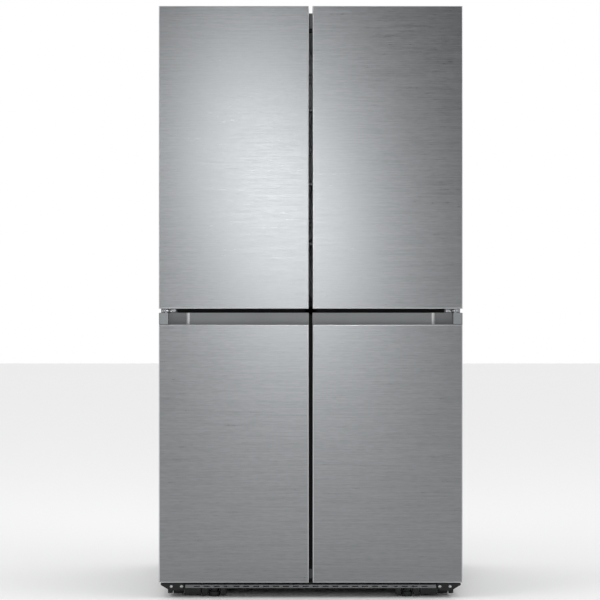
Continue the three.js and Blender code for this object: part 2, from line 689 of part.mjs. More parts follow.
function condenserFan() {
  const hub = crosswise(HUB_RADIUS, FAN_X - 12, FAN_X + 12, FAN_Y, FAN_Z, 20);
  const blades = Array.from({ length: BLADES }, (_, i) => {
    const blade = new THREE.BoxGeometry(BLADE_THICKNESS, BLADE_CHORD, FAN_RADIUS - HUB_RADIUS / 2);
    blade.rotateZ(BLADE_PITCH);
    blade.translate(0, 0, (FAN_RADIUS + HUB_RADIUS / 2) / 2);
    blade.rotateX(i / BLADES * 2 * Math.PI);
    blade.translate(FAN_X, FAN_Y, FAN_Z);
    return solid(blade);
  });
  const bore = crosswise(FAN_SHAFT + GAP * 2, FAN_X - 20, FAN_X + 20, FAN_Y, FAN_Z, 16);
  return cut(join(hub, ...blades), bore);
}

refrigerator.add(
  piece('base_frame', baseFrame(), BLACK_STEEL),
  piece('kick_grille', kickGrille(), DARK_PLASTIC),
  piece('compressor', compressor(), BLACK_STEEL),
  piece('condenser_fan', condenserFan(), DARK_PLASTIC),
);
for (const [name, side] of SIDES) {
  refrigerator.add(
    piece(`levelling_leg_${name}`, levellingLeg(side), DARK_PLASTIC),
    piece(`front_roller_${name}`, roller(side, FRONT_ROLLER_RADIUS, FRONT_ROLLER_Y,
      FRONT_ROLLER_RADIUS + FRONT_ROLLER_LIFT), DARK_PLASTIC),
    piece(`rear_roller_${name}`, roller(side, REAR_ROLLER_RADIUS, REAR_ROLLER_Y,
      REAR_ROLLER_RADIUS), DARK_PLASTIC));
}

// ---- Doors ---------------------------------------------------------------------------------------------

// Each door is drawn about its own hinge axis: x grows towards the free edge of a left door
// and is turned over for a right one, y grows to the back, z is the height above the floor.

function doorSolids(side) {
  const turn = (x) => -side * x;
  const bar = (x0, x1, y0, y1, z0, z1) => block(turn(x0), turn(x1), y0, y1, z0, z1);

  // The plan of the door drawn in by an inset, with its two front corners rounded. A rim
  // width makes the back edge step out again, to close the skin's edges from behind.
  const slab = (inset, back, z0, z1, rim = []) => {
    const r = DOOR_CORNER_RADIUS - inset;
    const left = DOOR_OUTER + inset;
    const right = DOOR_FREE - inset;
    const front = FACE + inset;
    const corner = (x, from) => Array.from({ length: 5 }, (_, i) => {
      const angle = from + i / 4 * Math.PI / 2;
      return [x + r * Math.cos(angle), front + r + r * Math.sin(angle)];
    });
    const outline = [
      ...rim.map(([y, ledge]) => [DOOR_OUTER + ledge, y]),
      [left, back],
      ...corner(left + r, Math.PI),
      ...corner(right - r, Math.PI * 1.5),
      [right, back],
      ...rim.map(([y, ledge]) => [DOOR_FREE - ledge, y]).reverse(),
    ];
    return prism(outline.map(([x, y]) => [turn(x), y]), z0, z1);
  };

  // What fills the skin from behind, with the rim behind the skin's back edges
  const filling = (z0, z1) =>
    slab(SKIN + GAP, RETURN + GAP, z0, z1, [[BACK, 0], [RETURN + GAP, 0]]);

  const pinHole = (z0, z1) => upright(PIN_HOLE, 0, 0, z0, z1);
  return { turn, bar, slab, filling, pinHole };
}

// The hand pocket seen from above: shallow along the door, deep next to the end block
function gripPocket(side, front, start, z0, z1) {
  const turn = (x) => -side * x;
  const shallow = FACE + GRIP_DEPTH;
  const deep = FACE + GRIP_DEEP_END;
  const end = start + GRIP_DEEP_LENGTH;
  const r = GRIP_CORNER_RADIUS;
  const corner = Array.from({ length: 5 }, (_, i) => {
    const angle = Math.PI + i / 4 * Math.PI / 2;
    return [end + r + r * Math.cos(angle), shallow + r + r * Math.sin(angle)];
  });
  const past = DOOR_FREE + PAST;
  const outline = [[start, front], [start, deep], [end, deep], ...corner, [past, shallow], [past, front]];
  return prism(outline.map(([x, y]) => [turn(x), y]), z0, z1);
}

function gasket(side, z0, z1) {
  const { bar } = doorSolids(side);
  const near = HINGE_X - OPENING_HALF;
  const far = HINGE_X - CENTRE_HALF;
  const inner = GASKET_OVERLAP;
  const outer = GASKET_OVERLAP + GASKET_WIDTH;
  return cut(
    bar(near - outer, far + outer, BACK + GAP, BACK + GASKET_DEPTH, z0 - outer, z1 + outer),
    bar(near - inner, far + inner, BACK - PAST, BACK + GASKET_DEPTH + PAST, z0 - inner, z1 + inner));
}

const MULLION_X = HINGE_X - CENTRE_HALF - 1;
const MULLION_Y = BACK + GASKET_DEPTH + SEAL_CLEARANCE + MULLION_THICKNESS / 2 + 1;
const MULLION_END = 14;
const MULLION_Z0 = UPPER_FLOOR + MULLION_END;
const MULLION_Z1 = UPPER_CEILING - MULLION_END;
const MULLION_HEEL = 4;
const TAB = 5;

// Tabs on the left door's dyke carry the flip mullion between them
function mullionTabs() {
  const { bar } = doorSolids(-1);
  return [MULLION_Z0 - GAP - TAB, MULLION_Z1 + GAP].map((z) => cut(
    bar(DYKE_END - 2, MULLION_X + 6, MULLION_Y - 7, MULLION_Y + 7, z, z + TAB),
    upright(MULLION_PIN / 2 + 0.5, MULLION_X, MULLION_Y, z - PAST, z + TAB + PAST, 16)));
}

// Foam and inner door moulded round it: a flat back and a raised dyke that enters the hollow
function doorCore(side, z0, z1, floor, ceiling) {
  const { bar, filling } = doorSolids(side);
  const low = floor + DYKE_CLEARANCE;
  const high = ceiling - DYKE_CLEARANCE;
  const ridge = (y0, y1, from, to) => cut(
    bar(DYKE_START, DYKE_END, y0, y1, from, to),
    bar(DYKE_START + DYKE_RIDGE, DYKE_END - DYKE_RIDGE, y0 - PAST, y1 + PAST,
      low + DYKE_RIDGE, high - DYKE_RIDGE));
  const root = ridge(BACK - 1, BACK + 1, Math.max(low, z0 + 2), Math.min(high, z1 - 2));
  return join(filling(z0, z1), root, ridge(BACK + GAP, BACK + DYKE_DEPTH, low, high));
}

function bin(side, z) {
  const { bar } = doorSolids(side);
  const x0 = DYKE_START + DYKE_RIDGE + GAP;
  const x1 = DYKE_END - DYKE_RIDGE - GAP;
  const wall = STORAGE_WALL;
  return cut(
    bar(x0, x1, BACK + GAP, BACK + BIN_DEPTH, z, z + BIN_HEIGHT),
    bar(x0 + wall, x1 - wall, BACK + GAP + wall, BACK + BIN_DEPTH - wall, z + wall, z + BIN_HEIGHT + PAST));
}

function upperDoor(name, side) {
  const { bar, slab, filling, pinHole } = doorSolids(side);
  const bottom = UPPER_DOOR_BOTTOM;
  const top = HEIGHT;
  const notch = () => bar(DOOR_OUTER - PAST, DOOR_OUTER + HINGE_NOTCH_LENGTH,
    FACE + HINGE_NOTCH_FRONT, BACK + PAST, top - HINGE_NOTCH_DEPTH, top + PAST);
  const coreBottom = bottom + BOTTOM_CAP_HEIGHT + GAP;
  const coreTop = top - TOP_CAP_HEIGHT - GAP;
  const skin = cut(slab(0, RETURN, bottom, top),
    slab(SKIN, RETURN + PAST, bottom - PAST, top + PAST), notch());
  const core = doorCore(side, coreBottom, coreTop, UPPER_FLOOR, UPPER_CEILING);
  const topCap = cut(filling(coreTop + GAP, top - SKIN), notch(),
    pinHole(CABINET_TOP - PIN_LENGTH - PIN_END_CLEARANCE, top));
  const groove = gripPocket(side, FACE + GRIP_LIP, GRIP_END_BLOCK - HINGE_FROM_SIDE + PAST,
    bottom - PAST, bottom + GRIP_POCKET);
  const edge = bar(DOOR_FREE - 16, DOOR_FREE + PAST, FACE, BACK + PAST,
    bottom - 2 * PAST, bottom + BOTTOM_CAP_HEIGHT);
  const bottomCap = cut(filling(bottom + SKIN, coreBottom - GAP), cut(groove, edge),
    pinHole(bottom - PAST, ROW_SPLIT_Z + MID_PLATE / 2 + PIN_LENGTH + PIN_END_CLEARANCE));
  const group = new THREE.Group();
  group.add(
    piece(`${name}_skin`, skin, STAINLESS),
    piece(`${name}_core`, side < 0 ? join(core, ...mullionTabs()) : core, WHITE_PLASTIC),
    piece(`${name}_top_cap`, topCap, GRIP_GREY),
    piece(`${name}_bottom_cap`, bottomCap, GRIP_GREY),
    piece(`${name}_gasket`, gasket(side, UPPER_FLOOR, UPPER_CEILING), SEAL_RUBBER),
    ...BIN_Z.map((z, i) => piece(`${name}_bin_${['lower', 'upper'][i]}`, bin(side, z), CLEAR_PLASTIC)));
  return group;
}

function lowerDoor(name, side) {
  const { bar, slab, filling, pinHole } = doorSolids(side);
  const bottom = LOWER_DOOR_BOTTOM;
  const top = LOWER_DOOR_TOP;
  const edge = top - GRIP_RISE;
  const coreTop = edge - GRIP_POCKET - 2 * GAP - 6;
  const coreBottom = bottom + BOTTOM_CAP_HEIGHT + GAP;
  const start = GRIP_END_BLOCK - HINGE_FROM_SIDE;
  const skin = cut(slab(0, RETURN, bottom, edge), slab(SKIN, RETURN + PAST, bottom - PAST, edge + PAST));
  const core = doorCore(side, coreBottom, coreTop, LOWER_FLOOR, LOWER_CEILING);
  const grip = cut(
    join(filling(coreTop + GAP, top), slab(0, BACK, edge + GAP, top)),
    gripPocket(side, FACE + GRIP_LIP, start, edge - GRIP_POCKET, top + PAST),
    bar(start, DOOR_FREE + PAST, FACE - PAST, FACE + GRIP_LIP + 1, edge + GAP, top + PAST),
    pinHole(ROW_SPLIT_Z - MID_PLATE / 2 - PIN_LENGTH - PIN_END_CLEARANCE, top + PAST));
  const bottomCap = cut(filling(bottom + SKIN, coreBottom - GAP),
    pinHole(bottom - PAST, TRAY_Z + PIN_LENGTH + PIN_END_CLEARANCE));
  const group = new THREE.Group();
  group.add(
    piece(`${name}_skin`, skin, STAINLESS),
    piece(`${name}_core`, core, WHITE_PLASTIC),
    piece(`${name}_grip`, grip, GRIP_GREY),
    piece(`${name}_bottom_cap`, bottomCap, GRIP_GREY),
    piece(`${name}_gasket`, gasket(side, LOWER_FLOOR, LOWER_CEILING), SEAL_RUBBER));
  return group;
}

// The bar that closes the gap between the upper doors, folded back against the left door
function flipMullion() {
  const half = MULLION_THICKNESS / 2;
  return join(
    block(MULLION_X - half, MULLION_X + half, MULLION_Y - MULLION_HEEL,
      MULLION_Y + MULLION_WIDTH - MULLION_HEEL, MULLION_Z0, MULLION_Z1),
    upright(MULLION_PIN / 2, MULLION_X, MULLION_Y, MULLION_Z0 - TAB, MULLION_Z1 + TAB, 16));
}

for (const [name, side] of SIDES) {
  for (const door of [upperDoor(`upper_${name}_door`, side), lowerDoor(`lower_${name}_door`, side)]) {
    door.position.set(side * HINGE_X, HINGE_Y, 0);
    refrigerator.add(door);
  }
}
const mullion = piece('flip_mullion', flipMullion(), WHITE_PLASTIC);
mullion.position.set(-HINGE_X, HINGE_Y, 0);
refrigerator.add(mullion);

export default refrigerator;
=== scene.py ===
# %% [markdown]
# # A refrigerator with four doors
# The CAD model gives every part its size and place. This script gives each part the surface
# and the small shapes that a maker's tools leave on the real one: folded sheet, moulded
# plastic, rubber seals, glass and screws. It starts from the frame, and everything that
# follows takes its place from the frame's boxes.

# %% Load the frame
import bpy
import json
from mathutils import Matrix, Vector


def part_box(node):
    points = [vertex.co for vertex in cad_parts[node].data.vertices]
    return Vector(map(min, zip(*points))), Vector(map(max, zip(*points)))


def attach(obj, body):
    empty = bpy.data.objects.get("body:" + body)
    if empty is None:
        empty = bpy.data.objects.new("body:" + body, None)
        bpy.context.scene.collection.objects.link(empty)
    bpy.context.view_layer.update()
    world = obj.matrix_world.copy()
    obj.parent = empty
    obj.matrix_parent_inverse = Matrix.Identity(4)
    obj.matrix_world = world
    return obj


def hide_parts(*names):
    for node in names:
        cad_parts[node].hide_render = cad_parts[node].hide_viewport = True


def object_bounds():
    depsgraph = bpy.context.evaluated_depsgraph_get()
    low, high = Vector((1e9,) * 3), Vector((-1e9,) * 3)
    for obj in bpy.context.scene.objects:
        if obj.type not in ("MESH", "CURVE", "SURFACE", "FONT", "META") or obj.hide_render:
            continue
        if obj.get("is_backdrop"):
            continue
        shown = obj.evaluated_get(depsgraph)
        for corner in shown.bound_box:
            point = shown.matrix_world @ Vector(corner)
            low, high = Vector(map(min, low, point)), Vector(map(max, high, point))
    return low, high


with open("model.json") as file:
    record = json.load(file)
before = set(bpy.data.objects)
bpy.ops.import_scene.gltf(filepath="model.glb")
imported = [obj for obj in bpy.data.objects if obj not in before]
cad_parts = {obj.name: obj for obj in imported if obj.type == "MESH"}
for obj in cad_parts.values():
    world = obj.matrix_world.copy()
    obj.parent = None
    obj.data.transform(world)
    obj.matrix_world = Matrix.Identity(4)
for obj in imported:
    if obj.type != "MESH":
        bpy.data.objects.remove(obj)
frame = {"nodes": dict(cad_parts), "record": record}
print(len(frame["nodes"]), "CAD nodes")

# %% Tools and the box of the CAD model
import json
import math

import bpy
from mathutils import Vector

MM = 0.001
cad_low, cad_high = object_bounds()
print("CAD box", [round(v, 4) for v in (*cad_low, *cad_high)])

# %% [markdown]
# ## The camera
# The refrigerator is seen straight on from the middle of its height, five and a half metres
# away, as a catalogue shows one. A long lens keeps its sides from opening out, and it stands
# a little to the right of the middle of the frame.

# %% Camera
FRONT_Y = cad_low.y
VIEW_DISTANCE = 5.5
VIEW_WIDTH = 1.8
VIEW_HEIGHT = 0.8954
VIEW_OFFSET = -0.0322
camera_data = bpy.data.cameras.new("camera")
camera_data.sensor_width = 36
camera_data.lens = camera_data.sensor_width * VIEW_DISTANCE / VIEW_WIDTH
camera = bpy.data.objects.new("camera", camera_data)
camera.location = (VIEW_OFFSET, FRONT_Y - VIEW_DISTANCE, VIEW_HEIGHT)
camera.rotation_euler = (math.radians(90), 0, 0)
bpy.context.collection.objects.link(camera)
bpy.context.scene.camera = camera
print("camera lens", camera_data.lens, "mm")

# %% [markdown]
# ## Shaping tools
# Each helper does what a modeller does by hand: add a primitive, size it, pick faces by where
# they lie, then bevel or cut. An operator works on everything that is selected, so each
# helper clears the selection first.

# %% Primitives and selections
def activate(piece):
    bpy.ops.object.select_all(action="DESELECT")
    piece.select_set(True)
    bpy.context.view_layer.objects.active = piece


def named(name):
    piece = bpy.context.object
    piece.name = name
    piece.data.name = name
    bpy.ops.object.transform_apply(location=True, rotation=True, scale=True)
    return piece


def block(name, low, high):
    bpy.ops.object.select_all(action="DESELECT")
    low, high = Vector(map(min, low, high)), Vector(map(max, low, high))
    bpy.ops.mesh.primitive_cube_add(size=1, location=(low + high) / 2, scale=high - low)
    return named(name)


def rod(name, start, end, radius, sides=24):
    bpy.ops.object.select_all(action="DESELECT")
    start, end = Vector(start), Vector(end)
    along = end - start
    turn = along.to_track_quat("Z", "Y").to_euler()
    bpy.ops.mesh.primitive_cylinder_add(
        vertices=sides, radius=radius, depth=along.length,
        location=(start + end) / 2, rotation=turn)
    return named(name)


def pick_faces(piece, test):
    """Goes into edit mode with the faces selected whose centre and normal pass a test."""
    activate(piece)
    bpy.ops.object.mode_set(mode="EDIT")
    bpy.ops.mesh.select_mode(type="FACE")
    bpy.ops.mesh.select_all(action="DESELECT")
    bpy.ops.object.mode_set(mode="OBJECT")
    for face in piece.data.polygons:
        face.select = test(face.center, face.normal)
    bpy.ops.object.mode_set(mode="EDIT")


def pick_edges(piece, test):
    """Goes into edit mode with the edges selected whose two ends pass a test."""
    activate(piece)
    bpy.ops.object.mode_set(mode="EDIT")
    bpy.ops.mesh.select_mode(type="EDGE")
    bpy.ops.mesh.select_all(action="DESELECT")
    bpy.ops.object.mode_set(mode="OBJECT")
    points = piece.data.vertices
    for edge in piece.data.edges:
        edge.select = test(*[points[i].co for i in edge.vertices])
    bpy.ops.object.mode_set(mode="EDIT")


def leave_edit():
    bpy.ops.object.mode_set(mode="OBJECT")


def modify(piece, kind, **settings):
    activate(piece)
    modifier = piece.modifiers.new(kind.title(), kind)
    for key, value in settings.items():
        setattr(modifier, key, value)
    bpy.ops.object.modifier_apply(modifier=modifier.name)
    return piece


def break_edges(piece, width, segments=2, angle=30):
    """Rounds every sharp edge a little, as a mould or a press does."""
    modify(piece, "BEVEL", width=width, segments=segments, limit_method="ANGLE",
           angle_limit=math.radians(angle), use_clamp_overlap=True)
    bpy.ops.object.shade_smooth_by_angle(angle=math.radians(angle + 5))
    return piece


def cut(piece, *tools):
    for tool in tools:
        modify(piece, "BOOLEAN", operation="DIFFERENCE", object=tool, solver="EXACT")
        bpy.data.objects.remove(tool)
    return piece


def joined(name, *pieces):
    activate(pieces[0])
    for other in pieces[1:]:
        other.select_set(True)
    bpy.ops.object.join()
    piece = bpy.context.object
    piece.name = name
    piece.data.name = name
    return piece

# %% [markdown]
# ## Copies of CAD nodes
# Brackets, axles and end caps already have their true shape in the CAD model. A pressed or
# moulded part never has a knife-sharp edge, so such a node gives a copy whose loose triangles
# are merged and whose edges are broken by a fraction of a millimetre.

# %% A CAD node with its edges broken
MERGE_DISTANCE = 1e-5
FLAT_ENOUGH = math.radians(1)


def from_node(node, name, width, segments=2):
    source = frame["nodes"][node]
    piece = bpy.data.objects.new(name, source.data.copy())
    bpy.context.collection.objects.link(piece)
    piece.data.name = name
    activate(piece)
    bpy.ops.object.mode_set(mode="EDIT")
    bpy.ops.mesh.select_all(action="SELECT")
    bpy.ops.mesh.remove_doubles(threshold=MERGE_DISTANCE)
    bpy.ops.mesh.dissolve_limited(angle_limit=FLAT_ENOUGH)
    leave_edit()
    return break_edges(piece, width, segments)


def place(piece, material, slot, body, *nodes):
    """Gives a finished piece its material and its body, and hides the CAD nodes it stands for; the
    slot is not used.

    Weighted normals keep a large flat face flat to its edges, where a small bevel meets it.
    """
    modify(piece, "WEIGHTED_NORMAL", keep_sharp=True)
    piece.data.materials.clear()
    piece.data.materials.append(material)
    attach(piece, body)
    if nodes:
        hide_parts(*nodes)
    print(piece.name, len(piece.data.polygons), "faces on", body)
    return piece

# %% [markdown]
# ## Finishes
# Colours are written as the hex values that a paint or plastic card would give, and one
# function turns them to linear light. One function adds a shader node with its settings and
# links.

# %% Colour and nodes
def linear(hex_colour):
    parts = [int(hex_colour[i:i + 2], 16) / 255 for i in (1, 3, 5)]
    return (*[p / 12.92 if p <= 0.04045 else ((p + 0.055) / 1.055) ** 2.4 for p in parts], 1)


def add(tree, kind, links=None, **settings):
    made = tree.nodes.new(kind)
    for key, value in settings.items():
        setattr(made, key, value)
    for socket, value in (links or {}).items():
        if isinstance(value, bpy.types.NodeSocket):
            tree.links.new(value, made.inputs[socket])
        else:
            made.inputs[socket].default_value = value
    return made


def new_material(name, **sockets):
    material = bpy.data.materials.new(name)
    material.use_nodes = True
    tree = material.node_tree
    tree.nodes.clear()
    shader = add(tree, "ShaderNodeBsdfPrincipled",
                 {key.replace("_", " "): value for key, value in sockets.items()})
    add(tree, "ShaderNodeOutputMaterial", {"Surface": shader.outputs[0]})
    return material, tree, shader


def pattern(tree, pitch, detail):
    """Noise whose grain along each axis is given in metres."""
    place_at = add(tree, "ShaderNodeTexCoord").outputs["Object"]
    mapped = add(tree, "ShaderNodeMapping", {
        "Vector": place_at, "Scale": [1 / p for p in pitch]})
    noise = add(tree, "ShaderNodeTexNoise", {
        "Vector": mapped.outputs[0], "Scale": 1.0, "Detail": detail})
    return noise.outputs["Fac"]


def spread(tree, value, low, high, start=0.3, stop=0.7):
    """Takes the middle of a noise value to the range from low to high."""
    return add(tree, "ShaderNodeMapRange", {
        "Value": value, "From Min": start, "From Max": stop,
        "To Min": low, "To Max": high}).outputs[0]


def tint(tree, value, dark, light):
    mix = add(tree, "ShaderNodeMix", data_type="RGBA")
    tree.links.new(value, mix.inputs["Factor"])
    mix.inputs[6].default_value = linear(dark)
    mix.inputs[7].default_value = linear(light)
    return mix.outputs[2]


def rough_bump(tree, shader, height, strength, distance):
    bump = add(tree, "ShaderNodeBump", {
        "Height": height, "Strength": strength, "Distance": distance})
    tree.links.new(bump.outputs[0], shader.inputs["Normal"])

# %% [markdown]
# ### Brushed stainless steel
# Door fronts are stainless sheet, drawn under an abrasive belt that runs from side to side.
# It leaves fine horizontal scratches of all lengths: long faint ones that the eye reads as
# grain, and short bright ones. The scratches are a few hundredths of a millimetre wide on the
# real sheet. They are drawn about two millimetres apart, because finer ones don't show.

# %% Stainless steel
LONG_SCRATCH = (160 * MM, 160 * MM, 2.1 * MM)
SHORT_SCRATCH = (22 * MM, 22 * MM, 1.6 * MM)


def brushed_stainless():
    """Grain that spreads a lamp's reflection up and down into a tall soft glow."""
    material, tree, shader = new_material(
        "brushed_stainless", Metallic=1.0, Anisotropic=0.45, Anisotropic_Rotation=0.25)
    long_grain = pattern(tree, LONG_SCRATCH, 3)
    short_grain = pattern(tree, SHORT_SCRATCH, 2)
    grain = add(tree, "ShaderNodeMath", {0: long_grain, 1: short_grain}, operation="ADD")
    half = add(tree, "ShaderNodeMath", {0: grain.outputs[0], 1: 0.5}, operation="MULTIPLY")
    colour = tint(tree, spread(tree, half.outputs[0], 0, 1, 0.36, 0.64), "#808284", "#8e9092")
    tree.links.new(colour, shader.inputs["Base Color"])
    tree.links.new(spread(tree, half.outputs[0], 0.27, 0.36), shader.inputs["Roughness"])
    tangent = add(tree, "ShaderNodeTangent", direction_type="RADIAL", axis="Z")
    tree.links.new(tangent.outputs[0], shader.inputs["Tangent"])
    rough_bump(tree, shader, half.outputs[0], 0.09, 0.0002)
    return material


def fold_highlight_steel():
    """The same steel, made paler for the folds: a painted highlight, the thin bright line a fold's
    curve catches.
    """
    return new_material(
        "fold_highlight_steel", Metallic=1.0, Roughness=0.3, Base_Color=linear("#c6c8ca"))[0]

# %% [markdown]
# ### Painted sheet, plated steel and black steel
# The cabinet's sides are pre-coated grey sheet with a fine pebbled coat. Hinges are zinc
# plated, bright with a faint bluish crystal pattern. Everything under the floor of the
# cabinet is painted black.

# %% Metals under a coat
def grained(shader_parts, dark, light, broad, grit, roughness, swing, strength, depth):
    """Broad faint clouds of tint, and a fine grain in the roughness and the bump."""
    material, tree, shader = shader_parts
    grain = pattern(tree, (grit,) * 3, 2)
    clouds = pattern(tree, (broad,) * 3, 2)
    colour = tint(tree, spread(tree, clouds, 0, 1), dark, light)
    tree.links.new(colour, shader.inputs["Base Color"])
    rough = spread(tree, grain, roughness - swing, roughness + swing)
    tree.links.new(rough, shader.inputs["Roughness"])
    rough_bump(tree, shader, grain, strength, depth)
    return material


def coated_sheet(name, dark, light, grit, roughness, metallic=0.0):
    made = new_material(name, Metallic=metallic)
    return grained(made, dark, light, 220 * MM, grit, roughness, 0.06, 0.25, grit / 6)

# %% [markdown]
# ### Plastics and rubber
# Liners are vacuum-formed white polystyrene with a soft gloss. Grips and caps are grey
# moulded ABS with a fine spark-eroded grain. Gaskets are flexible grey vinyl. Drawers and
# bins are clear polystyrene, faintly milky, with a slight blue tint.

# %% Moulded plastics
def moulded(name, dark, light, grit, roughness, **sockets):
    made = new_material(name, **sockets)
    return grained(made, dark, light, 150 * MM, grit, roughness, 0.05, 0.15, grit / 8)


def clear(name, colour, roughness, ior, share):
    """Clear stuff that lets through the given share of the light; the rest looks milky."""
    material, tree, shader = new_material(
        name, Transmission_Weight=share, IOR=ior, Base_Color=linear(colour))
    smear = pattern(tree, (60 * MM,) * 3, 3)
    rough = spread(tree, smear, roughness * 0.6, roughness * 1.6)
    tree.links.new(rough, shader.inputs["Roughness"])
    return material


def glow(name, colour, strength):
    return new_material(
        name, Base_Color=linear(colour), Roughness=0.4,
        Emission_Color=linear(colour), Emission_Strength=strength)[0]

# %% All finishes
FINE_GRAIN = 0.9 * MM
COAT_GRAIN = 1.8 * MM
finishes = {
    "brushed_stainless": brushed_stainless(),
    # An even satin grey, because the coat hides the metal
    "painted_sheet": coated_sheet("painted_sheet", "#727577", "#757879", COAT_GRAIN, 0.42, 0.3),
    # Bright and a little cloudy, where the plating's crystals turn
    "zinc_plated_steel": coated_sheet("zinc_plated_steel", "#b9bcbf", "#c9cccf", 4 * MM, 0.32, 1.0),
    # Nearly black, with a dull sheen on its edges
    "black_steel": coated_sheet("black_steel", "#161718", "#1d1e20", 1.2 * MM, 0.5, 0.2),
    # Mid grey and matt, as spark-eroded tools leave it
    "grip_plastic": moulded("grip_plastic", "#8a8d8f", "#95989a", FINE_GRAIN, 0.45),
    # Charcoal and matt
    "dark_plastic": moulded("dark_plastic", "#1e1f20", "#262729", FINE_GRAIN, 0.55),
    # Clean white with a soft gloss, because the hot sheet is drawn over a smooth mould
    "liner_plastic": moulded("liner_plastic", "#e4e6e6", "#edeeee", 2.5 * MM, 0.3),
    # Flat grey that hardly shines
    "gasket_rubber": moulded("gasket_rubber", "#77797b", "#818385", 1.2 * MM, 0.7),
    # Straw coloured, dry and porous
    "insulation_foam": moulded("insulation_foam", "#c9a65e", "#dcbf7d", 3 * MM, 0.9),
    # Float glass, clear and sharp, with a trace of green
    "shelf_glass": clear("shelf_glass", "#f3faf8", 0.03, 1.52, 0.92),
    # Clear polystyrene, a little milky from its mould
    "clear_plastic": clear("clear_plastic", "#f6fafc", 0.08, 1.49, 0.72),
}
painted_fold_highlight = fold_highlight_steel()
# ABS under silver paint: a grey that glints a little
silver_plastic = moulded("silver_plastic", "#7f8284", "#8a8d8f", FINE_GRAIN, 0.35, Metallic=0.35)
# Mid-grey ABS that stays visible in the shade under the doors
grille_plastic = moulded("grille_plastic", "#77797b", "#808284", FINE_GRAIN, 0.5)
# Near-black plastic that paints shade into the gaps between the doors, where the flange is really
# grey
painted_shade_plastic = moulded("painted_shade_plastic", "#09090a", "#0e0e0f", FINE_GRAIN, 0.7)
# White on the grip pocket's rounded corner: a painted highlight, one bright upright line in each
# hand grip
painted_highlight_trim = moulded("painted_highlight_trim", "#f0f1f2", "#f8f9f9", FINE_GRAIN, 0.2, Specular_IOR_Level=0.8)
# Galvanised sheet: paler than the painted sides, with a soft metal sheen
rear_sheet = coated_sheet("rear_sheet", "#9b9ea0", "#a1a4a6", COAT_GRAIN, 0.38, 0.6)
# Bright zinc: small sparks of light on the screw heads
screw_steel = coated_sheet("screw_steel", "#c2c4c6", "#d6d8da", 1.5 * MM, 0.25, 1.0)
# Opal acrylic over the lamps, which glows white
lamp_lens = glow("lamp_lens", "#f7f9ff", 1.2)
print(len(finishes), "slot finishes")

slot_of = {part["node"]: part["material_slot"] for part in frame["record"]["subparts"]}
for node, cad_object in frame["nodes"].items():
    cad_object.data.materials.clear()
    cad_object.data.materials.append(finishes[slot_of[node]])

# %% [markdown]
# ## Door skins
# The front of a door is one stainless sheet, folded back along both long edges round a small
# radius, with a short rolled lip at its top and bottom. It is open behind, where foam and end
# caps fill it. A block with its front edges bevelled and three faces taken away gives the
# folds, and Solidify gives the sheet its thickness. The folds get a paler steel, a painted
# highlight that draws a thin line of light along them.

# %% Door skins
SIDES = (("left", -1), ("right", 1))
SHEET = 1.2 * MM
FOLD_RADIUS = 3 * MM
HEM = 0.35 * MM
NOTCH_DEPTH = 20 * MM
NOTCH_FRONT = 8 * MM


def bisect(piece, at, normal):
    """A straight line of edges right across a piece, at a plane."""
    activate(piece)
    bpy.ops.object.mode_set(mode="EDIT")
    bpy.ops.mesh.select_all(action="SELECT")
    bpy.ops.mesh.bisect(plane_co=at, plane_no=normal)
    leave_edit()


def folded_skin(name, low, high):
    skin = block(name, low, high)
    pick_edges(skin, lambda a, b: a.y < low.y + MM and b.y < low.y + MM)
    bpy.ops.mesh.bevel(offset=FOLD_RADIUS, segments=6)
    leave_edit()
    pick_faces(skin, lambda centre, normal: normal.y > 0.9
               or (abs(normal.z) > 0.99 and centre.y > low.y + FOLD_RADIUS))
    bpy.ops.mesh.delete(type="FACE")
    leave_edit()
    return skin


def hinge_notch(skin, side, high, front_y):
    """Opens the outer fold of an upper door's skin over the top hinge's tongue."""
    floor_z = high.z - NOTCH_DEPTH
    bisect(skin, (0, 0, floor_z), (0, 0, 1))
    bisect(skin, (0, front_y, 0), (0, 1, 0))
    pick_faces(skin, lambda centre, normal: side * normal.x > 0.9
               and centre.z > floor_z and centre.y > front_y)
    bpy.ops.mesh.delete(type="FACE")
    leave_edit()


for name, side in SIDES:
    for row in ("upper", "lower"):
        node = f"{row}_{name}_door_skin"
        low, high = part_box(node)
        skin = folded_skin(f"{node}_sheet", low, high)
        if row == "upper":
            hinge_notch(skin, side, high, low.y + NOTCH_FRONT)
        modify(skin, "SOLIDIFY", thickness=SHEET, offset=-1, use_even_offset=True)
        break_edges(skin, HEM, 1)
        place(skin, finishes["brushed_stainless"], "brushed_stainless", f"{row}_{name}_door", node)
        # The sloping faces of the folds get the paler steel, a painted highlight.
        skin.data.materials.append(painted_fold_highlight)
        for face in skin.data.polygons:
            sideways = max(abs(face.normal.x), abs(face.normal.z))
            if face.normal.y < -0.05 and 0.12 < sideways < 0.99:
                face.material_index = 1

# %% [markdown]
# ## End caps and hand grips
# Moulded caps close the ends of each door. The cap on top of a lower door is also its handle:
# a pocket behind the steel lip, deeper at its outer end, with a solid silver-grey block over
# the hinge pin. Their CAD shape is the true one, so the copies only get their edges broken.
# The end blocks get a lighter plastic. The rounded corner of the pocket is painted white as a
# highlight, a bright upright line where the real corner catches the light.

# %% Caps and grips
CAP_EDGE = 0.8 * MM
LIP_ROLL = 5 * MM
GRIP_LIP = 4 * MM
END_BLOCK = 28.5 * MM
DEEP_END = 80 * MM
CORNER = 12 * MM
BEYOND = 10 * MM

for name, _ in SIDES:
    for node, body in ((f"upper_{name}_door_top_cap", f"upper_{name}_door"),
                       (f"upper_{name}_door_bottom_cap", f"upper_{name}_door"),
                       (f"lower_{name}_door_bottom_cap", f"lower_{name}_door")):
        cap = from_node(node, f"{node}_moulding", CAP_EDGE)
        place(cap, finishes["grip_plastic"], "grip_plastic", body, node)

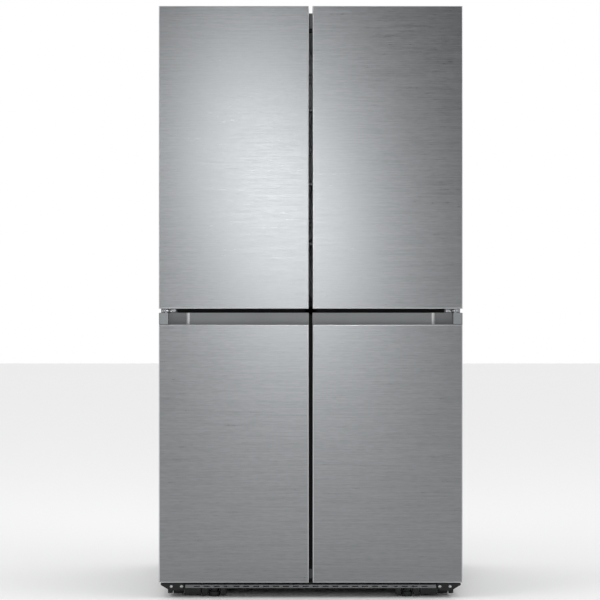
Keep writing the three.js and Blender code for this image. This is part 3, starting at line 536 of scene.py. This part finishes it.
# %% Grip with its end block
for name, side in SIDES:
    node = f"lower_{name}_door_grip"
    low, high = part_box(node)
    lip_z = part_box(f"lower_{name}_door_skin")[1].z
    outer_x = high.x if side > 0 else -low.x
    grip = from_node(node, f"{node}_moulding", CAP_EDGE, 3)
    cut(grip, block("lip", (low.x - BEYOND, low.y - BEYOND, lip_z - LIP_ROLL),
                    (high.x + BEYOND, low.y + GRIP_LIP, lip_z + 0.2 * MM)))
    place(grip, finishes["grip_plastic"], "grip_plastic", f"lower_{name}_door", node)
    grip.data.materials.append(silver_plastic)
    grip.data.materials.append(painted_highlight_trim)
    # End blocks get the silver plastic; the pocket's rounded corner gets the white of a painted
    # highlight.
    for face in grip.data.polygons:
        inward = outer_x - side * face.center.x
        over_lip = face.center.z > lip_z
        upright = face.normal.y < 0.95 and abs(face.normal.z) < 0.5
        if over_lip and inward < END_BLOCK:
            face.material_index = 1
        elif over_lip and upright and DEEP_END < inward < DEEP_END + CORNER:
            face.material_index = 2

# %% [markdown]
# ## Inner door
# The inside of a door is a vacuum-formed sheet: a flat border that carries the seal, and a
# raised dyke that enters the compartment and holds the bins. Forming leaves every corner with
# a generous radius, because hot sheet stretches thin over a sharp one.

# %% Inner door panels
FORM_RADIUS = 7 * MM
DYKE_RIDGE = 28 * MM
DYKE_DEPTH = 44 * MM
DYKE_FROM_SEAL = 22 * MM
DYKE_FROM_HINGE_SIDE = 26 * MM
DYKE_FROM_FREE_SIDE = 27 * MM
BORDER = 3.7 * MM
TAB = 5 * MM
TAB_HALF = 7 * MM
TAB_NOSE = 6 * MM
TAB_ROOT = 4 * MM
TAB_GAP = 0.3 * MM
PIN_INSET = 4 * MM
PIN_HOLE = 3.5 * MM


def dyke_box(row, name):
    """The dyke's box, from the core's front to back size and its seal's opening."""
    core_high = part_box(f"{row}_{name}_door_core")[1]
    seal_low, seal_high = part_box(f"{row}_{name}_door_gasket")
    hinge_side = -1 if name == "left" else 1
    outer = abs(seal_low.x if hinge_side < 0 else seal_high.x) - DYKE_FROM_HINGE_SIDE
    inner = min(abs(seal_low.x), abs(seal_high.x)) + DYKE_FROM_FREE_SIDE
    x = sorted((hinge_side * outer, hinge_side * inner))
    back_y = core_high.y - DYKE_DEPTH
    return (Vector((x[0], back_y - MM, seal_low.z + DYKE_FROM_SEAL)),
            Vector((x[1], core_high.y, seal_high.z - DYKE_FROM_SEAL)))


def inner_door(row, name):
    low, high = dyke_box(row, name)
    core_low, core_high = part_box(f"{row}_{name}_door_core")
    back_y = high.y - DYKE_DEPTH
    ridge = block("ridge", low, high)
    inset = Vector((DYKE_RIDGE, 0, DYKE_RIDGE))
    through = Vector((0, 20 * MM, 0))
    well = block("well", low + inset - through, high - inset + through)
    break_edges(well, FORM_RADIUS, 4)
    cut(ridge, well)
    pick_edges(ridge, lambda a, b: (a.y > high.y - MM and b.y > high.y - MM)
               or (abs(a.x - b.x) < MERGE_DISTANCE and abs(a.z - b.z) < MERGE_DISTANCE
                   and min(a.x - low.x, high.x - a.x) < MM))
    bpy.ops.mesh.bevel(offset=FORM_RADIUS, segments=5)
    leave_edit()
    border = block("border", (core_low.x, back_y - BORDER, core_low.z),
                   (core_high.x, back_y, core_high.z))
    break_edges(border, MM, 2)
    panel = joined(f"{row}_{name}_door_inner_panel", border, ridge)
    bpy.ops.object.shade_smooth_by_angle(angle=math.radians(40))
    return panel


def mullion_tabs():
    """Two ears on the left dyke, with the holes that the flip mullion's pins turn in."""
    low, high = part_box("flip_mullion")
    dyke_edge = dyke_box("upper", "left")[1].x
    pivot = Vector(((low.x + high.x) / 2, low.y + PIN_INSET, 0))
    tabs = []
    for z in (low.z - TAB_GAP, high.z + TAB_GAP - TAB):
        tab = block("tab", (dyke_edge - TAB_ROOT, pivot.y - TAB_HALF, z),
                    (pivot.x + TAB_NOSE, pivot.y + TAB_HALF, z + TAB))
        hole = rod("hole", pivot + Vector((0, 0, z - 10 * MM)),
                   pivot + Vector((0, 0, z + 20 * MM)), PIN_HOLE)
        tabs.append(break_edges(cut(tab, hole), 0.5 * MM, 2))
    print("pivot", [round(v, 4) for v in pivot], "dyke edge", round(dyke_edge, 4))
    return tabs


for name, _ in SIDES:
    for row in ("upper", "lower"):
        panel = inner_door(row, name)
        body = f"{row}_{name}_door"
        if body == "upper_left_door":
            panel = joined(panel.name, panel, *mullion_tabs())
        place(panel, finishes["liner_plastic"], "liner_plastic", body, f"{body}_core")

# %% [markdown]
# ## Seals
# A door seal is an extruded vinyl strip: a soft bellows next to the door, and a flat tube
# behind it that holds the magnet. It runs round the door as a picture frame does, with mitred
# corners. The two parts of its section are two rings, the bellows a little narrower.

# %% Seals
BELLOWS_DEPTH = 5 * MM
BELLOWS_INSET = 2 * MM
BELLOWS_WIDTH = 8 * MM
MAGNET_WIDTH = 12 * MM
MAGNET_OVERLAP = 0.6 * MM


def ring(name, low, high, width, edge):
    frame_ring = block(name, low, high)
    inset = Vector((width, 0, width))
    beyond = Vector((0, 50 * MM, 0))
    cut(frame_ring, block("hole", low + inset - beyond, high - inset + beyond))
    return break_edges(frame_ring, edge, 3)


for row in ("upper", "lower"):
    for name, _ in SIDES:
        node = f"{row}_{name}_door_gasket"
        low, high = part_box(node)
        fold_y = low.y + BELLOWS_DEPTH
        narrow = Vector((BELLOWS_INSET, 0, BELLOWS_INSET))
        bellows_high = Vector((high.x, fold_y, high.z)) - narrow
        magnet_low = Vector((low.x, fold_y - MAGNET_OVERLAP, low.z))
        bellows = ring("bellows", low + narrow, bellows_high, BELLOWS_WIDTH, 1.8 * MM)
        magnet = ring("magnet", magnet_low, high, MAGNET_WIDTH, 1.4 * MM)
        seal = joined(f"{row}_{name}_door_seal", bellows, magnet)
        bpy.ops.object.shade_smooth_by_angle(angle=math.radians(40))
        place(seal, finishes["gasket_rubber"], "gasket_rubber", f"{row}_{name}_door", node)

# %% [markdown]
# ## Cabinet shell
# The wrapper is one sheet folded over the top and down both sides, with a narrow flange turned
# in at the front round each opening. A block without its back and bottom gives the fold, a
# bevel gives the bent edges, and three cuts give the openings. Thin near-black strips cover the
# flange behind the gaps between the doors as painted shade: the real flange there is grey, and
# the gaps look black only because they are deep and narrow.

# %% Wrapper
WRAP_RADIUS = 3 * MM
FLANGE_EDGE = 2 * MM
THROUGH = 20 * MM
wrapper_low, wrapper_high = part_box("outer_wrapper")
wrapper = block("outer_wrapper_sheet", wrapper_low, wrapper_high)
pick_faces(wrapper, lambda centre, normal: normal.y > 0.9 or normal.z < -0.9)
bpy.ops.mesh.delete(type="FACE")
leave_edit()
pick_edges(wrapper, lambda a, b: a.z > wrapper_high.z - MM and b.z > wrapper_high.z - MM
           and (abs(a.x - b.x) < MM) == (abs(a.y - b.y) > MM) and abs(a.y - b.y) > MM)
bpy.ops.mesh.bevel(offset=WRAP_RADIUS, segments=5)
leave_edit()
modify(wrapper, "SOLIDIFY", thickness=SHEET, offset=-1, use_even_offset=True)
for liner in ("fresh_food_liner", "freezer_liner", "flex_zone_liner"):
    low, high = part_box(liner)
    inside = Vector((FLANGE_EDGE, 0, FLANGE_EDGE))
    front = Vector((0, THROUGH, 0))
    rear = Vector((high.x, low.y + THROUGH, high.z))
    cut(wrapper, block("opening", low + inside - front, rear - inside))
break_edges(wrapper, HEM, 1)
place(wrapper, finishes["painted_sheet"], "painted_sheet", "cabinet", "outer_wrapper")

# %% Strips of painted shade behind the gaps between the doors
STRIP = 0.8 * MM
STRIP_HALF = 405 * MM
lower_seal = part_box("lower_left_door_gasket")
upper_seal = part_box("upper_left_door_gasket")
seal_inner = min(abs(v.x) for v in lower_seal)
flange_y = wrapper_low.y
upright_strip = block("upright_strip", (-seal_inner + MM, flange_y - STRIP, lower_seal[0].z),
                      (seal_inner - MM, flange_y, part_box("fresh_food_liner")[0].z + 2 * MM))
level_strip = block("level_strip", (-STRIP_HALF, flange_y - STRIP, lower_seal[1].z + 2 * MM),
                    (STRIP_HALF, flange_y, upper_seal[0].z - 2 * MM))
painted_shade_strips = break_edges(joined("painted_shade_strips", upright_strip, level_strip), 0.2 * MM, 1)
place(painted_shade_strips, painted_shade_plastic, "dark_plastic", "cabinet")

# %% [markdown]
# ## Back of the cabinet
# The rear panel is a flat sheet, stiffened by shallow pressed fields, and held round its edge
# by screws. Below it, the machine-room cover has rows of slots for the fan's air.

# %% Screws
SCREW_RADIUS = 4 * MM


def screw(at, normal, radius=SCREW_RADIUS):
    """A pan-head screw with a cross recess, its head standing on the surface."""
    at, normal = Vector(at), Vector(normal)
    head = rod("screw", at, at + normal * radius * 0.45, radius, 16)
    pick_faces(head, lambda centre, direction: direction.dot(normal) > 0.9)
    bpy.ops.mesh.inset(thickness=radius * 0.3, depth=radius * 0.15)
    bpy.ops.mesh.inset(thickness=radius * 0.35, depth=-radius * 0.3)
    leave_edit()
    bpy.ops.object.shade_smooth_by_angle(angle=math.radians(30))
    return head


def screws(name, body, normal, places, radius=SCREW_RADIUS):
    heads = [screw(at, normal, radius) for at in places]
    return place(joined(name, *heads), screw_steel, "zinc_plated_steel", body)

# %% Rear panel
FIELD_MARGIN = 45 * MM
FIELD_DEPTH = 0.9 * MM
FIELD_SLOPE = 3 * MM
EDGE_TO_SCREW = 12 * MM
END_TO_SCREW = 20 * MM
SCREW_GAPS = 6
panel_low, panel_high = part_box("rear_panel")
rear = block("rear_panel_sheet", panel_low, panel_high)
bisect(rear, (panel_low + panel_high) / 2, (1, 0, 0))
for share in (1 / 3, 2 / 3):
    bisect(rear, panel_low.lerp(panel_high, share), (0, 0, 1))
pick_faces(rear, lambda centre, normal: normal.y > 0.9)
bpy.ops.mesh.inset(thickness=FIELD_MARGIN, use_individual=True)
bpy.ops.mesh.inset(thickness=FIELD_SLOPE, depth=-FIELD_DEPTH, use_individual=True)
leave_edit()
break_edges(rear, HEM, 1, angle=12)
place(rear, rear_sheet, "painted_sheet", "cabinet", "rear_panel")
edge_x = panel_high.x - EDGE_TO_SCREW
screw_pitch = (panel_high.z - panel_low.z - 2 * END_TO_SCREW) / SCREW_GAPS
edge_heights = [panel_low.z + END_TO_SCREW + i * screw_pitch for i in range(SCREW_GAPS + 1)]
screws("rear_panel_screws", "cabinet", (0, 1, 0),
       [(x, panel_high.y, z) for x in (-edge_x, edge_x) for z in edge_heights])

# %% Machine-room cover
cover_low, cover_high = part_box("machine_room_cover")
cover = from_node("machine_room_cover", "machine_room_cover_sheet", HEM, 1)
place(cover, rear_sheet, "painted_sheet", "cabinet", "machine_room_cover")
screws("machine_room_screws", "cabinet", (0, 1, 0),
       [(x, cover_high.y, z) for x in (-edge_x, -edge_x / 3, edge_x / 3, edge_x)
        for z in (cover_low.z + 14 * MM, cover_high.z - 14 * MM)])

# %% Lining of the machine room
ROOM_DEPTH = 235 * MM
LINING = 0.8 * MM
room_half = cover_high.x - 4 * MM
room_front = cover_high.y - ROOM_DEPTH + 0.1 * MM
room_top = cover_high.z + 0.2 * MM
lining_wall = block("lining_wall", (-room_half, room_front, cover_low.z + 2 * MM),
                    (room_half, room_front + LINING, room_top))
lining_roof = block("lining_roof", (-room_half, room_front, room_top - LINING),
                    (room_half, cover_low.y - 0.5 * MM, room_top))
lining = break_edges(joined("machine_room_lining", lining_wall, lining_roof), 0.2 * MM, 1)
place(lining, rear_sheet, "painted_sheet", "cabinet")

# %% [markdown]
# ## Liners
# Each compartment is lined by one vacuum-formed sheet with wide corners that wipe clean. The
# lower ones step forward at the bottom over the machine room. A block, or two joined blocks,
# is opened at the front, its corners are bevelled wide, and Solidify adds the sheet outside.

# %% Liners
LINER = 2 * MM
LINER_RADIUS = 16 * MM
LEDGE_HEIGHT = 8 * MM
SHELF_LEDGE = 8 * MM
DRAWER_LEDGE = 17 * MM
STEP_WALL = 40.3 * MM
BEHIND_DRAWER = 10 * MM


def formed_liner(name, *boxes):
    shell = block(name, *boxes[0])
    for low, high in boxes[1:]:
        other = block("step", low, high)
        modify(shell, "BOOLEAN", operation="UNION", object=other, solver="EXACT")
        bpy.data.objects.remove(other)
    front_y = boxes[0][0].y
    pick_faces(shell, lambda centre, normal: normal.y < -0.9 and centre.y < front_y + MM)
    bpy.ops.mesh.delete(type="FACE")
    leave_edit()
    pick_edges(shell, lambda a, b: not (a.y < front_y + MM and b.y < front_y + MM))
    bpy.ops.mesh.bevel(offset=LINER_RADIUS, segments=5)
    leave_edit()
    modify(shell, "SOLIDIFY", thickness=LINER, offset=1, use_even_offset=True)
    bpy.ops.object.shade_smooth_by_angle(angle=math.radians(35))
    return shell


def ledge(low, high):
    return break_edges(block("ledge", low, high), 3 * MM, 3)


def shelf_ledges(name, over, rear_y, reach):
    """Ledges along both side walls of a liner, just under a shelf or drawer."""
    low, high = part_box(name)
    front_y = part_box(over)[0].y
    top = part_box(over)[0].z - 0.4 * MM
    inner = ((low.x + LINER, 1), (high.x - LINER, -1))
    return [ledge((x - into * MM, front_y, top - LEDGE_HEIGHT), (x + into * reach, rear_y, top))
            for x, into in inner]


def liner_box(name, bottom=None, rear=None):
    low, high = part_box(name)
    wall = Vector((LINER, 0, LINER))
    low, high = low + wall, high - wall - Vector((0, LINER, 0))
    return Vector((low.x, low.y, bottom or low.z)), Vector((high.x, rear or high.y, high.z))


fresh_ledges = [
    piece for over in ("shelf_lower", "shelf_upper", "crisper_cover")
    for piece in shelf_ledges("fresh_food_liner", over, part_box(over)[1].y, SHELF_LEDGE)]
fresh_shell = formed_liner("fresh", liner_box("fresh_food_liner"))
fresh = joined("fresh_food_lining", fresh_shell, *fresh_ledges)
place(fresh, finishes["liner_plastic"], "liner_plastic", "cabinet", "fresh_food_liner")

for zone in ("freezer", "flex_zone"):
    node = f"{zone}_liner"
    step_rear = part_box(f"{zone}_drawer_lower")[1].y + BEHIND_DRAWER
    step_top = cover_high.z + STEP_WALL
    ledge_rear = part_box(node)[1].y - 25 * MM
    shell = formed_liner("shell", liner_box(node, bottom=step_top), liner_box(node, rear=step_rear))
    drawer_ledges = shelf_ledges(node, f"{zone}_drawer_upper", ledge_rear, DRAWER_LEDGE)
    lining = joined(f"{zone}_lining", shell, *drawer_ledges)
    place(lining, finishes["liner_plastic"], "liner_plastic", "cabinet", node)

# %% [markdown]
# ## Shelves, duct and lamps
# A shelf is a sheet of toughened glass in a moulded edge: a round-nosed trim in front that
# stops spills, and a low rail behind. The duct panel up the back wall blows cold air through
# its slots, and two lamps under the ceiling light the compartment, one on each side.

# %% Glass shelves
GLASS = 5 * MM
NOSE_DEPTH = 16 * MM
NOSE_HEIGHT = 14 * MM
RAIL = 12 * MM
GLASS_INSET = 4 * MM

for node in ("shelf_lower", "shelf_upper", "crisper_cover"):
    low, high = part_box(node)
    glass = block(f"{node}_glass", low + Vector((0, GLASS_INSET, 0)),
                  (high.x, high.y - GLASS_INSET, low.z + GLASS))
    break_edges(glass, 0.8 * MM, 2)
    place(glass, finishes["shelf_glass"], "shelf_glass", "cabinet", node)
    nose = block("nose", low, (high.x, low.y + NOSE_DEPTH, low.z + NOSE_HEIGHT))
    break_edges(nose, 4 * MM, 4)
    rail = block("rail", (low.x, high.y - RAIL, low.z), (high.x, high.y, low.z + RAIL))
    break_edges(rail, 2 * MM, 3)
    trim = joined(f"{node}_trim", nose, rail)
    place(trim, silver_plastic, "grip_plastic", "cabinet")

# %% Duct panel
MOUTH_GROUPS = 5
MOUTH_HALF = 60 * MM
MOUTH_DEPTH = 14 * MM
MOUTH_PITCH = 14 * MM
low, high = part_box("air_duct_panel")
duct = block("air_duct_cover", low, high)
break_edges(duct, 9 * MM, 5)
group_pitch = (high.z - low.z) / MOUTH_GROUPS
for i in range(MOUTH_GROUPS):
    middle_z = low.z + group_pitch * (i + 0.5)
    for rise in (-MOUTH_PITCH, 0, MOUTH_PITCH):
        mouth = block("mouth", (-MOUTH_HALF, low.y - BEYOND, middle_z + rise - 3 * MM),
                      (MOUTH_HALF, low.y + MOUTH_DEPTH, middle_z + rise + 3 * MM))
        cut(duct, break_edges(mouth, 2 * MM, 3))
bpy.ops.object.shade_smooth_by_angle(angle=math.radians(35))
place(duct, finishes["liner_plastic"], "liner_plastic", "cabinet", "air_duct_panel")

# %% Ceiling lamps
LENS_INNER = 80 * MM
LENS_OUTER = 280 * MM
LENS_FRONT = -210 * MM
LENS_REAR = -130 * MM
LENS_DROP = 9 * MM
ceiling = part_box("fresh_food_liner")[1].z - LINER
lenses = []
for _, side in SIDES:
    ends = sorted((side * LENS_INNER, side * LENS_OUTER))
    lens = block("lens", (ends[0], LENS_FRONT, ceiling - LENS_DROP),
                 (ends[1], LENS_REAR, ceiling - 0.5 * MM))
    lenses.append(break_edges(lens, 4 * MM, 4))
place(joined("ceiling_lamps", *lenses), lamp_lens, "clear_plastic", "cabinet")

# %% [markdown]
# ## Drawers and bins
# Crispers, drawers and door bins are moulded in clear polystyrene: thin walls that lean out a
# little, round corners, a thick rim, and a wide front handle that fingers go under. A block
# without its top gives the tub, a wide bevel gives its corners, and Solidify gives the wall.

# %% Tubs
WALL = 3 * MM
TUB_RADIUS = 12 * MM
BIN_RADIUS = 14 * MM
FACE_HEIGHT = 46 * MM
FACE_DEPTH = 11 * MM
SCOOP_FROM_SIDE = 50 * MM
SCOOP_DEPTH = 8 * MM
SCOOP_TOP = 18 * MM
SCOOP_BOTTOM = 60 * MM


def tub(name, low, high, radius=TUB_RADIUS):
    shell = block(name, low, high)
    pick_faces(shell, lambda centre, normal: normal.z > 0.9)
    bpy.ops.mesh.delete(type="FACE")
    leave_edit()
    pick_edges(shell, lambda a, b: a.z < high.z - MM or b.z < high.z - MM)
    bpy.ops.mesh.bevel(offset=radius, segments=5)
    leave_edit()
    modify(shell, "SOLIDIFY", thickness=WALL, offset=-1, use_even_offset=True)
    break_edges(shell, 0.8 * MM, 2, angle=50)
    return shell


def handled_drawer(node):
    low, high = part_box(node)
    shell = tub(f"{node}_tub", low + Vector((0, 2 * MM, 0)), high)
    place(shell, finishes["clear_plastic"], "clear_plastic", node, node)
    top = high.z - MM
    face = block("face", (low.x + MM, low.y, top - FACE_HEIGHT),
                 (high.x - MM, low.y + FACE_DEPTH, top))
    break_edges(face, 3 * MM, 4)
    scoop = block("scoop", (low.x + SCOOP_FROM_SIDE, low.y - BEYOND, top - SCOOP_BOTTOM),
                  (high.x - SCOOP_FROM_SIDE, low.y + SCOOP_DEPTH, top - SCOOP_TOP))
    break_edges(scoop, 3 * MM, 3)
    cut(face, scoop)
    face.name = f"{node}_handle"
    place(face, finishes["liner_plastic"], "liner_plastic", node)


for name, side in SIDES:
    handled_drawer(f"crisper_{name}")
    zone = "freezer" if side < 0 else "flex_zone"
    for level in ("lower", "upper"):
        handled_drawer(f"{zone}_drawer_{level}")

# %% Door bins
BAND_HEIGHT = 22 * MM
BAND_DEPTH = 7 * MM
BAND_PROUD = 0.6 * MM
for name, _ in SIDES:
    body = f"upper_{name}_door"
    for level in ("lower", "upper"):
        node = f"{body}_bin_{level}"
        low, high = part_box(node)
        shell = tub(f"{node}_tub", low, high, BIN_RADIUS)
        place(shell, finishes["clear_plastic"], "clear_plastic", body, node)
        band = block("band", (low.x + 2 * MM, high.y - BAND_DEPTH, high.z - BAND_HEIGHT),
                     (high.x - 2 * MM, high.y + BAND_PROUD, high.z + BAND_PROUD))
        break_edges(band, 3 * MM, 4)
        band.name = f"{node}_rail"
        place(band, silver_plastic, "grip_plastic", body)

# %% [markdown]
# ## Flip mullion
# This bar is hinged to the left door's inner edge. When that door is shut it turns out behind
# the gap between the two doors, and both seals close on its face. It is a plastic body with a
# painted steel strip on its sealing face. A guide in the ceiling turns it.

# %% Flip mullion
PIN_REACH = 5 * MM
PIN_RADIUS = 3 * MM
PIN_ROOT = 2 * MM
STRIP_END = 30 * MM
low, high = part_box("flip_mullion")
bar_low, bar_high = low + Vector((0, 0, PIN_REACH)), high - Vector((0, 0, PIN_REACH))
bar = block("flip_mullion_bar", bar_low, bar_high)
break_edges(bar, 3 * MM, 4)
pivot = Vector(((low.x + high.x) / 2, bar_low.y + PIN_INSET, 0))
pins = [rod("pin", pivot + Vector((0, 0, z - PIN_ROOT)),
            pivot + Vector((0, 0, z + PIN_REACH + PIN_ROOT)), PIN_RADIUS)
        for z in (low.z, bar_high.z)]
bar = joined("flip_mullion_bar", bar, *pins)
place(bar, finishes["liner_plastic"], "liner_plastic", "flip_mullion", "flip_mullion")
strip = block("flip_mullion_strip", (high.x - 0.4 * MM, low.y + 9 * MM, bar_low.z + STRIP_END),
              (high.x + 0.3 * MM, high.y - 6 * MM, bar_high.z - STRIP_END))
place(break_edges(strip, 0.2 * MM, 1), finishes["painted_sheet"], "painted_sheet", "flip_mullion")

# %% Guide for the flip mullion
GUIDE_HALF = 24 * MM
GUIDE_DEPTH = 34 * MM
liner_low, liner_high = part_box("fresh_food_liner")
ceiling_z = liner_high.z - 2.3 * MM
guide = block("guide", (-GUIDE_HALF, liner_low.y + MM, ceiling_z - 10 * MM),
              (GUIDE_HALF, liner_low.y + GUIDE_DEPTH, ceiling_z))
channel = block("channel", (-GUIDE_HALF * 2, liner_low.y + GUIDE_DEPTH * 0.4, ceiling_z - 20 * MM),
                (GUIDE_HALF * 0.6, liner_low.y + GUIDE_DEPTH * 0.7, ceiling_z - 5 * MM))
guide = break_edges(cut(guide, channel), 1.5 * MM, 3)
guide.name = "mullion_guide"
place(guide, finishes["dark_plastic"], "dark_plastic", "cabinet")
print("mullion guide under", round(ceiling_z, 4))

# %% [markdown]
# ## Hinges
# The door hinges are thick pressed plates with a riveted pin. Their CAD shape is complete, so
# the copies only lose their sharp edges. A moulded cover hides each top hinge's screws.

# %% Hinge plates
HINGE_FINISH = {"top": "zinc_plated_steel", "middle": "zinc_plated_steel", "bottom": "black_steel"}
for name, _ in SIDES:
    for kind, slot in HINGE_FINISH.items():
        node = f"{kind}_hinge_{name}"
        hinge = from_node(node, f"{node}_plate", 0.5 * MM)
        place(hinge, finishes[slot], slot, "cabinet", node)

# %% Hinge covers
COVER_SHEET = 2 * MM
COVER_RADIUS = 6 * MM
TONGUE_X = 434 * MM
TONGUE_HALF = 11 * MM
TONGUE_DEPTH = 6 * MM
for name, side in SIDES:
    node = f"hinge_cover_{name}"
    low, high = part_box(node)
    cover = block(f"{node}_shell", low, high)
    pick_faces(cover, lambda centre, normal: normal.z < -0.9)
    bpy.ops.mesh.delete(type="FACE")
    leave_edit()
    pick_edges(cover, lambda a, b: a.z > low.z + MM or b.z > low.z + MM)
    bpy.ops.mesh.bevel(offset=COVER_RADIUS, segments=5)
    leave_edit()
    modify(cover, "SOLIDIFY", thickness=COVER_SHEET, offset=-1, use_even_offset=True)
    tongue_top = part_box(f"top_hinge_{name}")[1].z
    cut(cover, block("slot", (side * TONGUE_X - TONGUE_HALF, low.y - BEYOND, low.z - BEYOND),
                     (side * TONGUE_X + TONGUE_HALF, low.y + TONGUE_DEPTH, tongue_top + MM)))
    break_edges(cover, 0.4 * MM, 2)
    place(cover, finishes["dark_plastic"], "dark_plastic", "cabinet", node)

# %% Screws on the bottom hinges
HINGE_SCREW_X = (389 * MM, 420 * MM)
HINGE_SCREW_Z = 33 * MM
HINGE_SCREW_RADIUS = 4.5 * MM
for name, side in SIDES:
    low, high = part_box(f"bottom_hinge_{name}")
    screws(f"bottom_hinge_screws_{name}", "cabinet", (0, -1, 0),
           [(side * x, low.y, HINGE_SCREW_Z) for x in HINGE_SCREW_X], HINGE_SCREW_RADIUS)

# %% [markdown]
# ## Underside
# The base frame, the feet and the rollers are seen as dark shapes under the doors, with the
# grey kick grille between them. Broken edges are enough on the steel. The feet have a ribbed
# rim to turn them by.

# %% Base parts
for node, body, slot, material, width in (
        ("base_frame", "cabinet", "black_steel", finishes["black_steel"], 0.8 * MM),
        ("kick_grille", "cabinet", "dark_plastic", grille_plastic, 0.4 * MM),
        ("condenser_fan", "condenser_fan", "dark_plastic", finishes["dark_plastic"], 0.5 * MM),
        ("compressor", "cabinet", "black_steel", finishes["black_steel"], 2 * MM)):
    part = from_node(node, f"{node}_body", width)
    place(part, material, slot, body, node)

for name, _ in SIDES:
    for kind in ("front_roller", "rear_roller"):
        node = f"{kind}_{name}"
        wheel = from_node(node, f"{node}_wheel", 2 * MM, 3)
        place(wheel, finishes["dark_plastic"], "dark_plastic", node, node)

# %% Levelling feet
RIBS = 18
RIB_RADIUS = 1.3 * MM
RIB_INSET = 0.9 * MM
RIB_BOTTOM = 3 * MM
RIB_TOP = 13 * MM
for name, _ in SIDES:
    node = f"levelling_leg_{name}"
    low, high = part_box(node)
    axis = Vector(((low.x + high.x) / 2, (low.y + high.y) / 2, 0))
    rim = (high.x - low.x) / 2
    body = from_node(node, "leg", 1.2 * MM)
    ribs = []
    for i in range(RIBS):
        angle = 2 * math.pi * i / RIBS
        outward = Vector((math.cos(angle), math.sin(angle), 0))
        foot = axis + outward * (rim - RIB_INSET)
        bottom, top = foot + Vector((0, 0, RIB_BOTTOM)), foot + Vector((0, 0, RIB_TOP))
        ribs.append(rod("rib", bottom, top, RIB_RADIUS, 8))
    leg = joined(f"{node}_foot", body, *ribs)
    place(leg, finishes["dark_plastic"], "dark_plastic", node, node)

# %% [markdown]
# ## Floor and light
# The floor is plain and pale. The steel shows what stands in front of it, so what it reflects
# there is kept grey. One tall soft lamp in front, leaning a little, lies on the upper doors as a
# broad slanting glow. The camera itself sees a white room all round.

# %% Floor
FLOOR_SIZE = 40
bpy.ops.object.select_all(action="DESELECT")
bpy.ops.mesh.primitive_plane_add(size=FLOOR_SIZE)
floor = named("floor")
floor_paint, _, _ = new_material("floor_paint", Base_Color=linear("#fbfbfb"), Roughness=0.9)
floor.data.materials.append(floor_paint)
floor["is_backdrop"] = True
print("floor", FLOOR_SIZE, "m across")

# %% Room
world = bpy.data.worlds.new("room")
bpy.context.scene.world = world
world.use_nodes = True
room = world.node_tree
room.nodes.clear()
direction = add(room, "ShaderNodeTexCoord").outputs["Generated"]
toward = add(room, "ShaderNodeVectorMath", {0: direction, 1: (0, -1, 0)}, operation="DOT_PRODUCT")
in_front = add(room, "ShaderNodeMapRange", {
    "Value": toward.outputs["Value"], "From Min": 0.3, "From Max": 0.85},
    interpolation_type="SMOOTHSTEP")
seen = add(room, "ShaderNodeLightPath").outputs["Is Camera Ray"]
reflected = add(room, "ShaderNodeMath", {0: in_front.outputs[0], 1: seen},
                operation="SUBTRACT", use_clamp=True)
wall = add(room, "ShaderNodeMix", data_type="RGBA")
room.links.new(reflected.outputs[0], wall.inputs[0])
WHITE_WALL = (1, 1, 1, 1)
GREY_WALL = (0.14, 0.142, 0.145, 1)
wall.inputs[6].default_value = WHITE_WALL
wall.inputs[7].default_value = GREY_WALL
backdrop = add(room, "ShaderNodeBackground", {"Color": wall.outputs[2], "Strength": 1.0})
add(room, "ShaderNodeOutputWorld", {"Surface": backdrop.outputs[0]})
print("room nodes", len(room.nodes))

# %% Lamps
def soft_lamp(name, place_at, aim, width, height, watts, roll=0):
    lamp = bpy.data.lights.new(name, "AREA")
    lamp.shape = "RECTANGLE"
    lamp.size, lamp.size_y, lamp.energy = width, height, watts
    holder = bpy.data.objects.new(name, lamp)
    holder.location = place_at
    toward_aim = Vector(aim) - Vector(place_at)
    holder.rotation_euler = toward_aim.to_track_quat("-Z", "Y").to_euler()
    holder.rotation_euler.rotate_axis("Z", math.radians(roll))
    bpy.context.collection.objects.link(holder)
    print(name, watts, "W")


GLOW_DISTANCE = 4.0
soft_lamp("front_glow", (-0.17, FRONT_Y - GLOW_DISTANCE, 1.44), (0, 0, 1.3), 0.46, 1.2, 22.5, 32)
soft_lamp("top_left", (-3.0, -2.0, 3.4), (0, 0, 0.9), 2.0, 2.0, 25)
soft_lamp("top_right", (3.2, -1.0, 3.0), (0, 0, 0.9), 2.0, 2.0, 20)
bpy.context.scene.view_settings.view_transform = "Standard"

# %% Sizes and finish
low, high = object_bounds()
print("visual box", [round(v, 4) for v in (*low, *high)])
